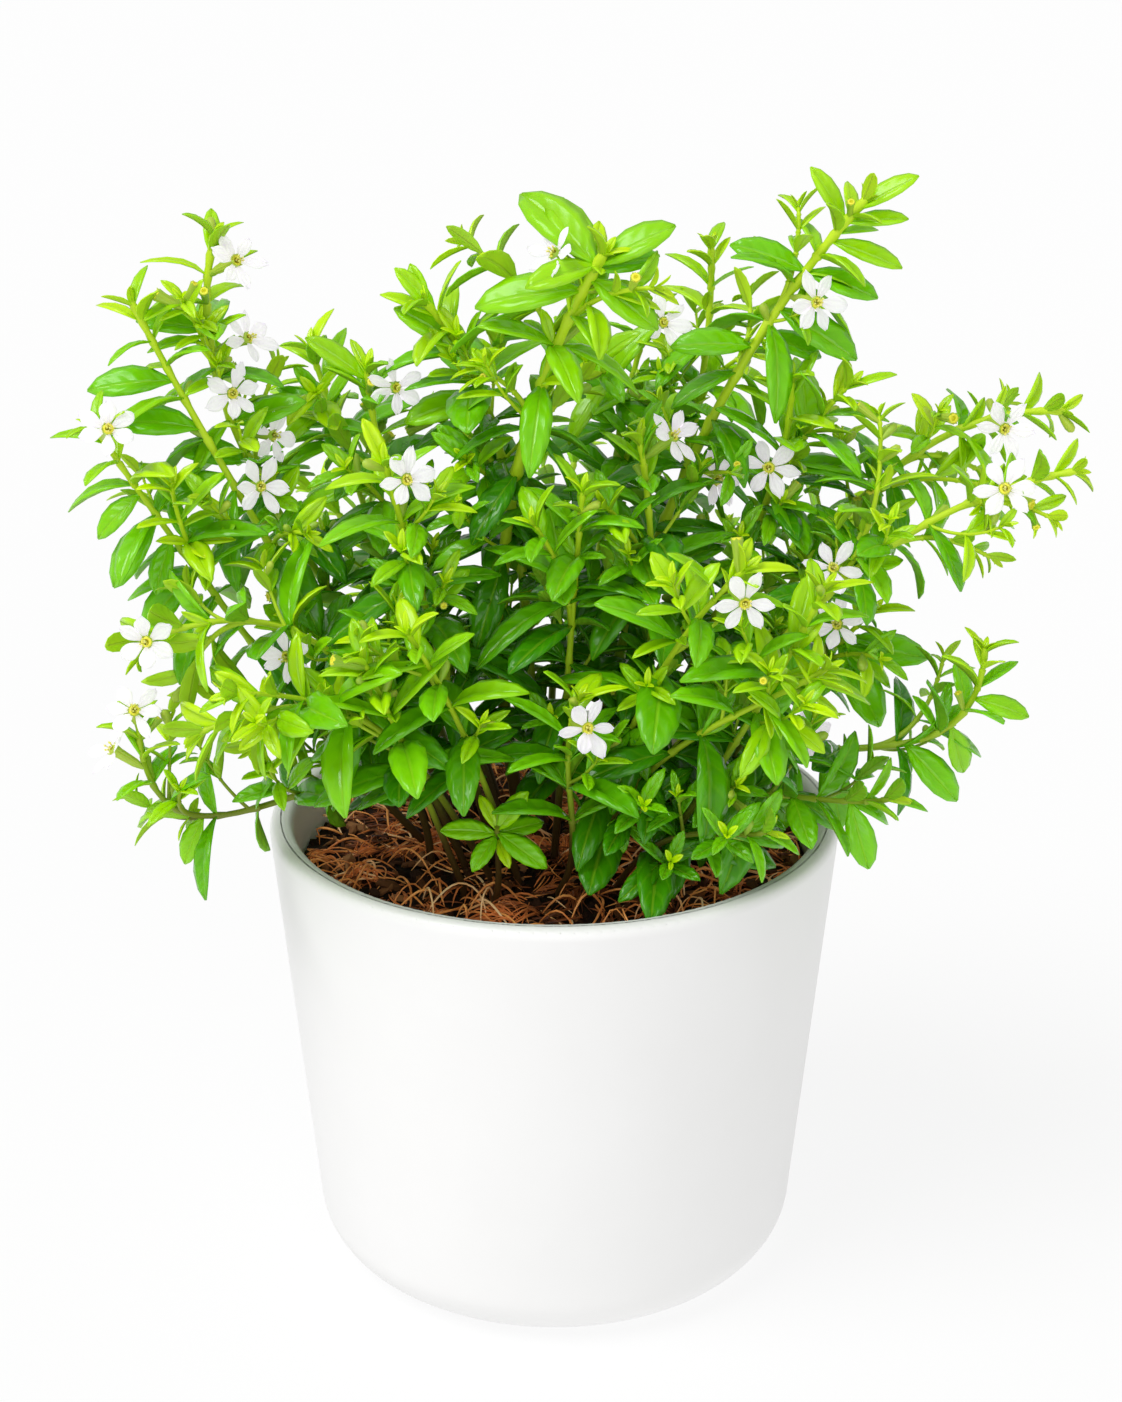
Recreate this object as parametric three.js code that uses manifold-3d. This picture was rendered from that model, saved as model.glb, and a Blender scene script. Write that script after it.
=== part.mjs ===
// A potted false hyssop: a bushy herb with small paired leaves and six-petalled white flowers,
// growing in the soil of a plain white conical pot.
// Millimetres, +Z up. The origin is the centre of the pot's base, and -Y is the front.
import * as THREE from 'three';
import { mergeVertices } from 'three/addons/utils/BufferGeometryUtils.js';
import Module from 'manifold-3d';

const wasm = await Module();
wasm.setup();

// The pot.
const POT_HEIGHT = 108;
const RIM_RADIUS = 65;
const BASE_RADIUS = 55; // the outer side, if it ran straight down to the table
const BASE_ROUNDING = 12;
const WALL = 5.5;
const FLOOR = 7;
const POT_SIDES = 36;

// The soil, which is a little higher in the middle than at the wall.
const SOIL_DROP = 13; // from the rim down to the soil at the wall
const SOIL_MOUND = 3;
const SOIL_CLEARANCE = 0.3; // round the soil, inside the pot's wall

// The stems.
const PLANT_SCALE = 1; // spreads the whole plant from the middle of the soil
const STEM_THICKNESS = 1; // multiplies each stem's own base radius
const STEM_TAPER = 0.45; // the tip's share of the base radius
const STEM_SIDES = 5;
const STEM_STEP = 20; // the longest straight piece of a stem
const SHOOT_RADIUS = 0.6;
const STRAIGHT_FOOT = 3; // a stem starts to lean at this height over the soil's datum
const ROOTED_DEPTH = 14; // how far a stem goes straight down from there
const SOCKET_CLEARANCE = 0.3; // round a stem, where it stands in the soil
const CLEARANCE = 0.3; // between two pieces of the plant that don't touch

// The leaves, which grow in crossed pairs.
const LEAF_LENGTH = 20;
const LEAF_WIDTH = 6;
const LEAF_THICKNESS = 1;
const LEAF_SPACING = 21; // between two pairs on one stem
const LEAF_START = 22; // along the stem, from the soil to the first pair
const LAST_PAIR_INSET = 2.5; // from the last pair to the stem's tip
const LEAF_LEAN_LOW = 60; // degrees between a leaf and its stem, near the soil
const LEAF_LEAN_TIP = 32; // and at the tip

// The flowers: a ribbed tube, the calyx, that opens into a disc of six petals.
const FLOWER_RADIUS = 6.6;
const PETALS = 6;
const PETAL_NOTCH = 0.42; // where two petals meet, as a share of the flower's radius
const FLOWER_DEPTH = 1.6;
const CALYX_LENGTH = 8;
const CALYX_MOUTH_RADIUS = 1.5;
const CALYX_FOOT_RADIUS = 0.6;
const FLOWER_STEP = 0.2; // by which a flower is moved to where it is clear

const DEGREES = Math.PI / 180;
const SOIL_DATUM = POT_HEIGHT - SOIL_DROP + SOIL_MOUND / 2;

// Each stem passes through four points: its foot in the soil, two on the way and its tip.
// Their heights are from the soil's datum.
const STEMS = [
  { name: 'left_tall', foot: [-24, 8], lower: [-44, 4, 52], upper: [-67, -3, 97], tip: [-70, -8, 144], radius: 1.2 },
  { name: 'left_long', foot: [-22, -3], lower: [-45, -7, 46], upper: [-67, -12, 89], tip: [-87, -15, 131], radius: 1.1 },
  { name: 'left_outer', foot: [-30, 0], lower: [-54, -14, 40], upper: [-76, -22, 76], tip: [-94, -28, 108], radius: 1 },
  { name: 'left_level', foot: [-20, -14], lower: [-35, -24, 42], upper: [-55, -34, 66], tip: [-85, -40, 65], radius: 0.9 },
  { name: 'left_low', foot: [-14, -20], lower: [-29, -35, 36], upper: [-46, -46, 53], tip: [-72, -52, 50], radius: 0.9 },
  { name: 'left_skirt', foot: [-28, -9], lower: [-44, -22, 27], upper: [-72, -34, 24], tip: [-87, -38, 48], radius: 0.9 },
  { name: 'mid_left', foot: [-14, -6], lower: [-22, -15, 42], upper: [-29, -26, 76], tip: [-34, -36, 102], radius: 1 },
  { name: 'upper_left', foot: [-12, 8], lower: [-24, 6, 44], upper: [-35, 4, 82], tip: [-40, 0, 113], radius: 1 },
  { name: 'upper_left_back', foot: [-20, 18], lower: [-33, 22, 42], upper: [-45, 26, 80], tip: [-55, 28, 112], radius: 1 },
  { name: 'center_left', foot: [-3, 5], lower: [-6, 9, 50], upper: [-12, 4, 95], tip: [-27, -6, 129], radius: 1.2 },
  { name: 'center_main', foot: [-8, 14], lower: [-12, 2, 55], upper: [-6, -14, 102], tip: [10, -28, 143], radius: 1.6 },
  { name: 'center_back', foot: [0, 24], lower: [7, 30, 42], upper: [14, 34, 84], tip: [22, 36, 119], radius: 1 },
  { name: 'vertical_right', foot: [11, 25], lower: [22, 30, 44], upper: [32, 32, 92], tip: [35, 32, 134], radius: 1.1 },
  { name: 'right_long', foot: [7, 10], lower: [16, 6, 51], upper: [34, -2, 103], tip: [64, -10, 151], radius: 1.4 },
  { name: 'inner', foot: [14, -4], lower: [20, -8, 38], upper: [21, -14, 72], tip: [18, -18, 102], radius: 1 },
  { name: 'right_mid', foot: [16, 5], lower: [30, 4, 42], upper: [45, 0, 80], tip: [50, -8, 113], radius: 1.1 },
  { name: 'right_high', foot: [22, 14], lower: [46, 12, 48], upper: [73, 6, 88], tip: [110, 0, 104], radius: 1.2 },
  { name: 'right_level', foot: [20, -4], lower: [42, -12, 46], upper: [70, -22, 80], tip: [107, -30, 99], radius: 1.1 },
  { name: 'right_front', foot: [8, -17], lower: [20, -34, 34], upper: [38, -46, 52], tip: [55, -52, 64], radius: 0.9 },
  { name: 'right_sweep', foot: [25, -2], lower: [48, -15, 30], upper: [77, -24, 37], tip: [91, -28, 60], radius: 1 },
  { name: 'right_skirt', foot: [22, -13], lower: [36, -28, 25], upper: [52, -38, 30], tip: [70, -44, 32], radius: 0.9 },
  { name: 'right_low', foot: [14, -24], lower: [24, -38, 20], upper: [34, -46, 25], tip: [44, -52, 28], radius: 0.8 },
  { name: 'right_bushy', foot: [28, 7], lower: [44, 2, 28], upper: [57, -4, 46], tip: [69, -10, 62], radius: 0.9 },
  { name: 'front_flowering', foot: [1, -27], lower: [4, -36, 20], upper: [3, -42, 38], tip: [5, -46, 55], radius: 0.8 },
  { name: 'front_seedling', foot: [-13, -31], lower: [-12, -34, 9], upper: [-12, -37, 17], tip: [-12, -40, 24], radius: 0.8 },
  { name: 'front_left', foot: [-20, -25], lower: [-26, -36, 26], upper: [-32, -47, 48], tip: [-38, -54, 66], radius: 0.8 },
  { name: 'front_middle', foot: [-8, -21], lower: [-14, -32, 28], upper: [-21, -44, 52], tip: [-29, -54, 72], radius: 0.8 },
  { name: 'front_right', foot: [7, -10], lower: [14, -26, 34], upper: [24, -40, 62], tip: [38, -50, 84], radius: 0.9 },
  { name: 'front_far_right', foot: [20, -20], lower: [32, -34, 30], upper: [44, -44, 56], tip: [54, -50, 80], radius: 0.9 },
  { name: 'young', foot: [0, -8], lower: [2, -15, 34], upper: [4, -22, 66], tip: [6, -28, 94], radius: 0.9 },
  { name: 'back_left', foot: [-14, 27], lower: [-26, 42, 30], upper: [-42, 56, 52], tip: [-60, 66, 68], radius: 1 },
  { name: 'back_middle', foot: [-2, 32], lower: [0, 50, 34], upper: [2, 66, 58], tip: [6, 78, 76], radius: 1 },
  { name: 'back_right', foot: [20, 26], lower: [34, 40, 30], upper: [52, 54, 50], tip: [72, 62, 62], radius: 1 },
];

// Side shoots: each leaves its stem at a share of the stem's length and ends in its tip.
const SHOOTS = [
  { on: 'left_tall', at: 0.78, tip: [-76, -18, 132] },
  { on: 'left_long', at: 0.55, tip: [-52, -24, 84] },
  { on: 'left_outer', at: 0.6, tip: [-78, -32, 96] },
  { on: 'center_left', at: 0.6, tip: [-27, 12, 100] },
  { on: 'center_main', at: 0.8, tip: [-18, -5, 141] },
  { on: 'center_main', at: 0.86, tip: [20, -32, 137] },
  { on: 'right_long', at: 0.7, tip: [42, 8, 128] },
  { on: 'right_long', at: 0.8, tip: [51, -2, 148] },
  { on: 'right_mid', at: 0.7, tip: [62, -10, 112] },
  { on: 'right_level', at: 0.55, tip: [68, -16, 107] },
  { on: 'right_sweep', at: 0.6, tip: [85, -12, 52] },
  { on: 'vertical_right', at: 0.6, tip: [24, 22, 107] },
  { on: 'inner', at: 0.6, tip: [11, -26, 90] },
  { on: 'left_low', at: 0.6, tip: [-64, -56, 60] },
  { on: 'young', at: 0.6, tip: [-4, -32, 88] },
];

// Flowers: each stands on a stem, at a share of its length, and faces an azimuth and an elevation.
// Azimuth 0 is +X, and azimuth -90 is the front.
const FLOWERS = [
  { on: 'left_tall', at: 0.94, azimuth: -30, elevation: 25 },
  { on: 'left_tall', at: 0.83, azimuth: 0, elevation: 20 },
  { on: 'left_tall', at: 0.77, azimuth: -65, elevation: 10 },
  { on: 'left_tall', at: 0.71, azimuth: -10, elevation: -5 },
  { on: 'left_long', at: 0.69, azimuth: -40, elevation: 10 },
  { on: 'left_outer', at: 0.97, azimuth: -70, elevation: 30 },
  { on: 'left_level', at: 0.96, azimuth: -100, elevation: 10 },
  { on: 'left_level', at: 0.66, azimuth: -120, elevation: -10 },
  { on: 'left_skirt', at: 0.98, azimuth: -85, elevation: 45 },
  { on: 'left_skirt', at: 0.88, azimuth: 170, elevation: 30 },
  { on: 'mid_left', at: 0.96, azimuth: -60, elevation: 15 },
  { on: 'upper_left', at: 0.97, azimuth: -40, elevation: 5 },
  { on: 'center_main', at: 0.96, azimuth: 180, elevation: 35 },
  { on: 'center_back', at: 0.96, azimuth: -60, elevation: 20 },
  { on: 'inner', at: 0.96, azimuth: -10, elevation: 40 },
  { on: 'right_long', at: 0.56, azimuth: -40, elevation: 0 },
  { on: 'right_long', at: 0.84, azimuth: -50, elevation: 0 },
  { on: 'right_mid', at: 0.82, azimuth: -110, elevation: 10 },
  { on: 'right_high', at: 0.88, azimuth: -70, elevation: 0 },
  { on: 'right_level', at: 0.88, azimuth: -90, elevation: 20 },
  { on: 'right_level', at: 0.58, azimuth: -100, elevation: 50 },
  { on: 'right_bushy', at: 0.9, azimuth: -120, elevation: 30 },
  { on: 'right_sweep', at: 0.48, azimuth: -100, elevation: 40 },
  { on: 'front_right', at: 0.95, azimuth: -70, elevation: -10 },
  { on: 'front_flowering', at: 0.9, azimuth: -65, elevation: 10 },
];

const CERAMIC = new THREE.MeshStandardMaterial({ color: 0xf4f4f2, roughness: 0.45, metalness: 0 });
const SOIL = new THREE.MeshStandardMaterial({ color: 0x3a241a, roughness: 0.95, metalness: 0 });
const GREEN = new THREE.MeshStandardMaterial({ color: 0x5c9a22, roughness: 0.45, metalness: 0 });
const PETAL = new THREE.MeshStandardMaterial({ color: 0xf6f3fa, roughness: 0.6, metalness: 0 });

// A manifold-3d solid of a closed three.js geometry. Triangles that have shrunk to a line, as at
// the poles of a lathe, are left out.
function solid(geometry) {
  geometry.deleteAttribute('normal');
  geometry.deleteAttribute('uv');
  const merged = mergeVertices(geometry, 1e-4);
  const triangles = [];
  for (let i = 0; i < merged.index.count; i += 3) {
    const [a, b, c] = merged.index.array.slice(i, i + 3);
    if (a !== b && b !== c && c !== a) triangles.push(a, b, c);
  }
  return new wasm.Manifold(new wasm.Mesh({
    numProp: 3,
    vertProperties: merged.attributes.position.array,
    triVerts: new Uint32Array(triangles),
  }));
}

// A named three.js mesh of a solid.
function mesh(name, body, material) {
  const { vertProperties, triVerts } = body.getMesh();
  const geometry = new THREE.BufferGeometry();
  geometry.setAttribute('position', new THREE.BufferAttribute(vertProperties, 3));
  geometry.setIndex(new THREE.BufferAttribute(triVerts, 1));
  geometry.computeVertexNormals();
  const made = new THREE.Mesh(geometry, material);
  made.name = name;
  return made;
}

// Turns a profile of [radius, height] points round the Z axis.
function turned(profile) {
  const points = profile.map(([radius, height]) => new THREE.Vector2(radius, height));
  return solid(new THREE.LatheGeometry(points, POT_SIDES).rotateX(Math.PI / 2));
}

// Points on an arc of a profile, from one angle to another in degrees.
function arc(centreRadius, centreHeight, radius, from, to, steps) {
  const points = [];
  for (let i = 0; i <= steps; i++) {
    const angle = (from + ((to - from) * i) / steps) * DEGREES;
    points.push([
      centreRadius + radius * Math.cos(angle),
      centreHeight + radius * Math.sin(angle),
    ]);
  }
  return points;
}

// The side leans outwards by this many degrees.
const SIDE_LEAN = Math.atan2(RIM_RADIUS - BASE_RADIUS, POT_HEIGHT) / DEGREES;

// The pot's outer radius at a height, above the rounded edge of its base.
const outerRadius = (height) => BASE_RADIUS + ((RIM_RADIUS - BASE_RADIUS) * height) / POT_HEIGHT;

// The profile of a solid cone with a rounded lower edge, inset from the pot's outer side.
function coneProfile(inset, bottom, rounding) {
  const corner = outerRadius(bottom) - inset / Math.cos(SIDE_LEAN * DEGREES);
  const centre = corner - rounding * Math.tan((45 - SIDE_LEAN / 2) * DEGREES);
  return [[0, bottom], ...arc(centre, bottom + rounding, rounding, -90, -SIDE_LEAN, 4)];
}

// The rounding where the pot's inside meets its floor.
const INNER_ROUNDING = Math.max(BASE_ROUNDING - WALL, 2);

function potBody() {
  const lip = WALL / 2;
  const top = POT_HEIGHT - lip;
  const inside = coneProfile(WALL, FLOOR, INNER_ROUNDING).reverse();
  return turned([
    ...coneProfile(0, 0, BASE_ROUNDING),
    ...arc(outerRadius(top) - lip, top, lip, 0, 180, 4),
    ...inside,
  ]);
}

// The soil fills the pot's inside, up to a shallow mound.
function soilBody() {
  const inset = WALL + SOIL_CLEARANCE;
  const edge = POT_HEIGHT - SOIL_DROP;
  const edgeRadius = outerRadius(edge) - inset / Math.cos(SIDE_LEAN * DEGREES);
  const mound = [1, 0.7, 0.35, 0].map((share) => [
    edgeRadius * share,
    edge + SOIL_MOUND * (1 - share * share),
  ]);
  const rounding = INNER_ROUNDING + 2 * SOIL_CLEARANCE;
  return turned([...coneProfile(inset, FLOOR, rounding), ...mound]);
}

// A point of the plant in the part's frame. Its height is from the soil's datum.
const plantPoint = ([x, y, z = 0]) => new THREE.Vector3(
  x * PLANT_SCALE,
  y * PLANT_SCALE,
  z * PLANT_SCALE + SOIL_DATUM,
);

// The cubic curve that starts at the first of four points, ends at the last, and passes through
// the other two at a third and two thirds of its parameter.
function curveThrough(start, lower, upper, end) {
  const mix = (a, b, c, d) => new THREE.Vector3()
    .addScaledVector(start, a / 6)
    .addScaledVector(lower, b / 6)
    .addScaledVector(upper, c / 6)
    .addScaledVector(end, d / 6);
  return new THREE.CubicBezierCurve3(start, mix(-5, 18, -9, 2), mix(2, -9, 18, -5), end);
}

// How many straight pieces a tube along a path has.
const tubeSteps = (path) => Math.ceil(path.getLength() / STEM_STEP);

// The middle of a tube along a path, at a share of its length.
function tubeMiddle(path, share) {
  const steps = tubeSteps(path);
  const piece = Math.min(Math.floor(share * steps), steps - 1);
  const from = path.getPointAt(piece / steps);
  const to = path.getPointAt((piece + 1) / steps);
  return from.lerp(to, share * steps - piece);
}

// Bends a cylinder along a path. Its radius goes evenly from the base's to the tip's, and a rooted
// one first comes straight up to the path's start from the depth that it is rooted at.
function tube(path, baseRadius, tipRadius, rootedDepth = 0) {
  const steps = tubeSteps(path);
  const rootedSteps = rootedDepth > 0 ? 1 : 0;
  const rings = steps + rootedSteps;
  const geometry = new THREE.CylinderGeometry(1, 1, 1, STEM_SIDES, rings);
  const frames = path.computeFrenetFrames(steps, false);
  const position = geometry.attributes.position;
  for (let i = 0; i < position.count; i++) {
    const ring = Math.round((position.getY(i) + 0.5) * rings) - rootedSteps;
    const step = Math.max(ring, 0);
    const radius = THREE.MathUtils.lerp(baseRadius, tipRadius, step / steps);
    const point = path.getPointAt(step / steps)
      .addScaledVector(frames.binormals[step], radius * position.getX(i))
      .addScaledVector(frames.normals[step], radius * position.getZ(i));
    if (ring < 0) point.z -= rootedDepth;
    position.setXYZ(i, point.x, point.y, point.z);
  }
  return solid(geometry);
}

// What is cut from the soil for a stem of this radius that comes straight up through a point.
function socket(point, radius) {
  const wide = (radius + SOCKET_CLEARANCE) / Math.cos(Math.PI / STEM_SIDES);
  const below = ROOTED_DEPTH + wide;
  const above = STRAIGHT_FOOT + SOIL_MOUND;
  const hole = new THREE.CylinderGeometry(wide, wide, below + above, STEM_SIDES)
    .rotateX(Math.PI / 2)
    .translate(point.x, point.y, point.z + (above - below) / 2);
  return solid(hole);
}

// A leaf from the origin along +X, its upper side towards +Z: a thin lens with a six-sided outline.
function leafGeometry(size) {
  return new THREE.SphereGeometry(1, 6, 2)
    .rotateX(Math.PI / 2)
    .translate(1, 0, 0)
    .scale((size * LEAF_LENGTH) / 2, (size * LEAF_WIDTH) / Math.sqrt(3), LEAF_THICKNESS / 2);
}

// The leaves of one stem or shoot, from the pair at its tip down to the first pair, as solids in
// place. Each pair is turned a quarter round the stem from the pair above it.
function leavesAlong(path, firstPair, smallest) {
  const length = path.getLength();
  const lastPair = length - LAST_PAIR_INSET;
  const pairs = Math.round((lastPair - firstPair) / LEAF_SPACING);
  const leaves = [];
  for (let pair = 0; pair <= pairs; pair++) {
    const share = THREE.MathUtils.lerp(lastPair, firstPair, pair / Math.max(pairs, 1)) / length;
    const along = path.getTangentAt(share);
    const across = new THREE.Vector3(0, 0, 1).cross(along).normalize();
    const size = THREE.MathUtils.lerp(1, smallest, share);
    for (const turn of [0, 180]) {
      const out = across.clone().applyAxisAngle(along, (45 + 90 * pair + turn) * DEGREES);
      const lean = THREE.MathUtils.lerp(LEAF_LEAN_LOW, LEAF_LEAN_TIP, share) * DEGREES;
      const forward = along.clone().multiplyScalar(Math.cos(lean)).addScaledVector(out, Math.sin(lean));
      const above = along.clone().multiplyScalar(Math.sin(lean)).addScaledVector(out, -Math.cos(lean));
      const side = above.clone().cross(forward);
      const place = new THREE.Matrix4().makeBasis(forward, side, above);
      place.setPosition(tubeMiddle(path, share));
      leaves.push(solid(leafGeometry(size).applyMatrix4(place)));
    }
  }
  return leaves;
}

// The parts of a flower whose calyx starts at the origin, goes up +Z and has this length: its
// corolla, which is a lens with six lobes, and its calyx.
function flowerGeometries(length) {
  const corolla = new THREE.SphereGeometry(1, 3 * PETALS, 2).rotateX(Math.PI / 2);
  const position = corolla.attributes.position;
  for (let i = 0; i < position.count; i++) {
    const angle = Math.atan2(position.getY(i), position.getX(i));
    const lobe = Math.abs(Math.sin((angle * PETALS) / 2));
    const radius = FLOWER_RADIUS * (lobe < 0.5 ? PETAL_NOTCH : 1);
    position.setX(i, position.getX(i) * radius);
    position.setY(i, position.getY(i) * radius);
  }
  corolla.scale(1, 1, FLOWER_DEPTH / 2).translate(0, 0, length);
  const calyx = new THREE.CylinderGeometry(CALYX_MOUTH_RADIUS, CALYX_FOOT_RADIUS, length, STEM_SIDES)
    .rotateX(Math.PI / 2)
    .translate(0, 0, length / 2);
  return [corolla, calyx];
}

// Whether a solid keeps the clearance from every solid in a list.
const isClear = (body, others) => others.every((other) => body.minGap(other, 1) >= CLEARANCE);

// A flower in its place. Its foot stands just clear of its stem, and its calyx is as much longer
// than usual as its corolla needs to clear its neighbours.
function placedFlower({ on, at, azimuth, elevation }, neighbours) {
  const flat = Math.cos(elevation * DEGREES);
  const facing = new THREE.Vector3(
    flat * Math.cos(azimuth * DEGREES),
    flat * Math.sin(azimuth * DEGREES),
    Math.sin(elevation * DEGREES),
  );
  const turn = new THREE.Quaternion().setFromUnitVectors(new THREE.Vector3(0, 0, 1), facing);
  const root = tubeMiddle(stemPaths.get(on), at);
  const put = (geometry) => solid(geometry.applyQuaternion(turn).translate(root.x, root.y, root.z));
  const foot = new THREE.CylinderGeometry(CALYX_FOOT_RADIUS, CALYX_FOOT_RADIUS, 1, STEM_SIDES)
    .rotateX(Math.PI / 2)
    .translate(0, 0, 0.5);
  let footBody = put(foot);
  while (!isClear(footBody, [sprigs.get(on)])) {
    root.addScaledVector(facing, FLOWER_STEP);
    footBody = footBody.translate(facing.clone().multiplyScalar(FLOWER_STEP).toArray());
  }
  for (let length = CALYX_LENGTH; ; length += FLOWER_STEP) {
    const [corolla, calyx] = flowerGeometries(length).map(put);
    const body = corolla.add(calyx);
    if (isClear(body, neighbours)) return body;
  }
}

// The stems, and the sockets that hold them in the soil.
const stemPaths = new Map();
const sprigs = new Map();
let soil = soilBody();
for (const { name, foot, lower, upper, tip, radius } of STEMS) {
  const start = plantPoint(foot);
  start.z += STRAIGHT_FOOT;
  const path = curveThrough(start, plantPoint(lower), plantPoint(upper), plantPoint(tip));
  const base = radius * STEM_THICKNESS;
  stemPaths.set(name, path);
  sprigs.set(name, tube(path, base, base * STEM_TAPER, ROOTED_DEPTH));
  soil = soil.subtract(socket(start, base));
}

// The side shoots, each grown into its stem.
const shootPaths = SHOOTS.map(({ on, at, tip }) => {
  const start = tubeMiddle(stemPaths.get(on), at);
  const end = plantPoint(tip);
  const turn = stemPaths.get(on).getTangentAt(at).multiplyScalar(start.distanceTo(end) / 2).add(start);
  const path = new THREE.QuadraticBezierCurve3(start, turn, end);
  const shoot = tube(path, SHOOT_RADIUS * STEM_THICKNESS, SHOOT_RADIUS * STEM_THICKNESS);
  sprigs.set(on, sprigs.get(on).add(shoot));
  return { on, path };
});

// The flowers, which come before the leaves, so that the leaves make room for them.
const pot = potBody();
const flowers = [];
for (const flower of FLOWERS) {
  flowers.push(placedFlower(flower, [pot, soil, ...sprigs.values(), ...flowers]));
}

// Adds the leaves of a path to the sprig that it belongs to. A leaf that has no clear room next
// to the other pieces isn't grown.
function growLeaves(on, path, firstPair, smallest) {
  const others = [...sprigs].filter(([name]) => name !== on).map(([, body]) => body);
  for (const leaf of leavesAlong(path, firstPair, smallest)) {
    if (isClear(leaf, [pot, soil, ...others, ...flowers])) sprigs.set(on, sprigs.get(on).add(leaf));
  }
}

for (const { name } of STEMS) growLeaves(name, stemPaths.get(name), LEAF_START, 0.6);
for (const { on, path } of shootPaths) growLeaves(on, path, path.getLength() * 0.5, 0.6);

const plant = new THREE.Group();
plant.add(mesh('pot', pot, CERAMIC));
plant.add(mesh('soil', soil, SOIL));
for (const [name, body] of sprigs) plant.add(mesh(`sprig_${name}`, body, GREEN));
flowers.forEach((body, index) => {
  plant.add(mesh(`flower_${String(index + 1).padStart(2, '0')}`, body, PETAL));
});

export default plant;
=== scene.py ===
import math
import random

import bmesh
import bpy
from mathutils import Matrix, Quaternion, Vector, noise


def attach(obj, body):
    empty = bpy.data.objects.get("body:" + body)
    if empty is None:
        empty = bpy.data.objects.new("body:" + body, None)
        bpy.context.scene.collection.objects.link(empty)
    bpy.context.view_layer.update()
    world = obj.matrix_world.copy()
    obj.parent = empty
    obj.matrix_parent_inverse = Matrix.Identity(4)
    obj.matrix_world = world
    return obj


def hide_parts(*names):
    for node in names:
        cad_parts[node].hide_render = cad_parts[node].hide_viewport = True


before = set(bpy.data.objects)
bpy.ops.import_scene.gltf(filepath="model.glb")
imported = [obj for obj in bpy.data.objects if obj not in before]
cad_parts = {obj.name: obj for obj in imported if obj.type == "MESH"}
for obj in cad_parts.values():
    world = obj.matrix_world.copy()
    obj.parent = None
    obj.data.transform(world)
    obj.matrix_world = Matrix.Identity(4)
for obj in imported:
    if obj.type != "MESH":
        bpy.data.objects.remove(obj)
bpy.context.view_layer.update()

# The studio: a wide white table top that runs out to the horizon, a white room round it, and
# a large soft light high on the left that lays a faint shadow to the right of the pot.
# The camera stands about half a metre in front of the rim and looks down on it.
bpy.ops.object.select_all(action="DESELECT")
bpy.ops.object.camera_add(
    location=(0.0015, -0.515, 0.3275),
    rotation=(math.radians(69.4), 0, 0),
)
camera = bpy.context.object
camera.name = "camera"
camera.data.lens = 62.8
camera.data.clip_start = 0.01
camera.data.clip_end = 50
bpy.context.scene.camera = camera
bpy.context.scene.view_settings.view_transform = "Standard"

bpy.ops.mesh.primitive_plane_add(size=12, location=(0, 0, 0))
table_top = bpy.context.object
table_top.name = "table_top"


def set_values(node, values):
    """Sets a node's own options or its sockets, by name."""
    for name, value in values.items():
        if hasattr(node, name):
            setattr(node, name, value)
        else:
            node.inputs[name.replace("_", " ")].default_value = value


def new_material(name, **values):
    """A material and its shader, with the shader's own values."""
    material = bpy.data.materials.new(name)
    material.use_nodes = True
    shader = material.node_tree.nodes["Principled BSDF"]
    set_values(shader, values)
    return material, shader


def add_node(owner, kind, **values):
    """Adds a node to a material or a world, with its values."""
    made = owner.node_tree.nodes.new("ShaderNode" + kind)
    set_values(made, values)
    return made


def remap(owner, low, high, to_low=0.0, to_high=1.0):
    """Adds a node that turns the range from low to high into another."""
    return add_node(owner, "MapRange", From_Min=low, From_Max=high, To_Min=to_low, To_Max=to_high)


def wire(owner, *links):
    """Links nodes, each link as (node, its output, next node, its input)."""
    for source, output, target, socket in links:
        owner.node_tree.links.new(source.outputs[output], target.inputs[socket])


WHITE = (1, 1, 1, 1)
table_white = new_material(
    "table_white",
    Base_Color=(0.16, 0.16, 0.16, 1),
    Roughness=0.95,
    Specular_IOR_Level=0.0,
    Emission_Color=WHITE,
    Emission_Strength=0.82,
)[0]
table_top.data.materials.append(table_white)

# The room lights the plant less than it looks bright behind it.
ROOM_LIGHT = 0.55
ROOM_BRIGHTNESS = 0.95
room = bpy.data.worlds.new("room")
room.use_nodes = True
room_glow = room.node_tree.nodes["Background"]
set_values(room_glow, {"Color": WHITE})
room_rays = add_node(room, "LightPath")
room_strength = remap(room, 0.0, 1.0, ROOM_LIGHT, ROOM_BRIGHTNESS)
wire(
    room,
    (room_rays, "Is Camera Ray", room_strength, "Value"),
    (room_strength, "Result", room_glow, "Strength"),
)
bpy.context.scene.world = room


def add_soft_light(name, place, softness, strength):
    """A far soft light that shines from a place towards the pot, softness in degrees across."""
    bpy.ops.object.light_add(type="SUN", location=place)
    light = bpy.context.object
    light.name = name
    light.data.angle = math.radians(softness)
    light.data.energy = strength
    light.rotation_euler = (Vector((0, 0, 0.1)) - Vector(place)).to_track_quat("-Z", "Y").to_euler()


add_soft_light("main_light", (-0.8, -0.55, 1.5), 35, 1.7)
add_soft_light("front_light", (0.2, -1.3, 0.5), 40, 0.5)

# The pot is cast white ceramic with a smooth satin glaze. Its side leans outwards, its base has
# a wide rounded edge, and its lip is a soft round over the full wall.
POT_HEIGHT = 0.108
POT_RIM_RADIUS = 0.065
POT_BASE_RADIUS = 0.055
POT_BASE_ROUNDING = 0.0125
POT_INNER_ROUNDING = 0.006
POT_WALL = 0.0055
POT_FLOOR = 0.007


def pick_points(piece, test):
    """In edit mode, selects the points whose place passes the test."""
    shape = bmesh.from_edit_mesh(piece.data)
    for face in shape.faces:
        face.select = False
    for edge in shape.edges:
        edge.select = False
    for point in shape.verts:
        point.select = bool(test(point.co))
    shape.select_flush(True)
    bmesh.update_edit_mesh(piece.data)


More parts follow.
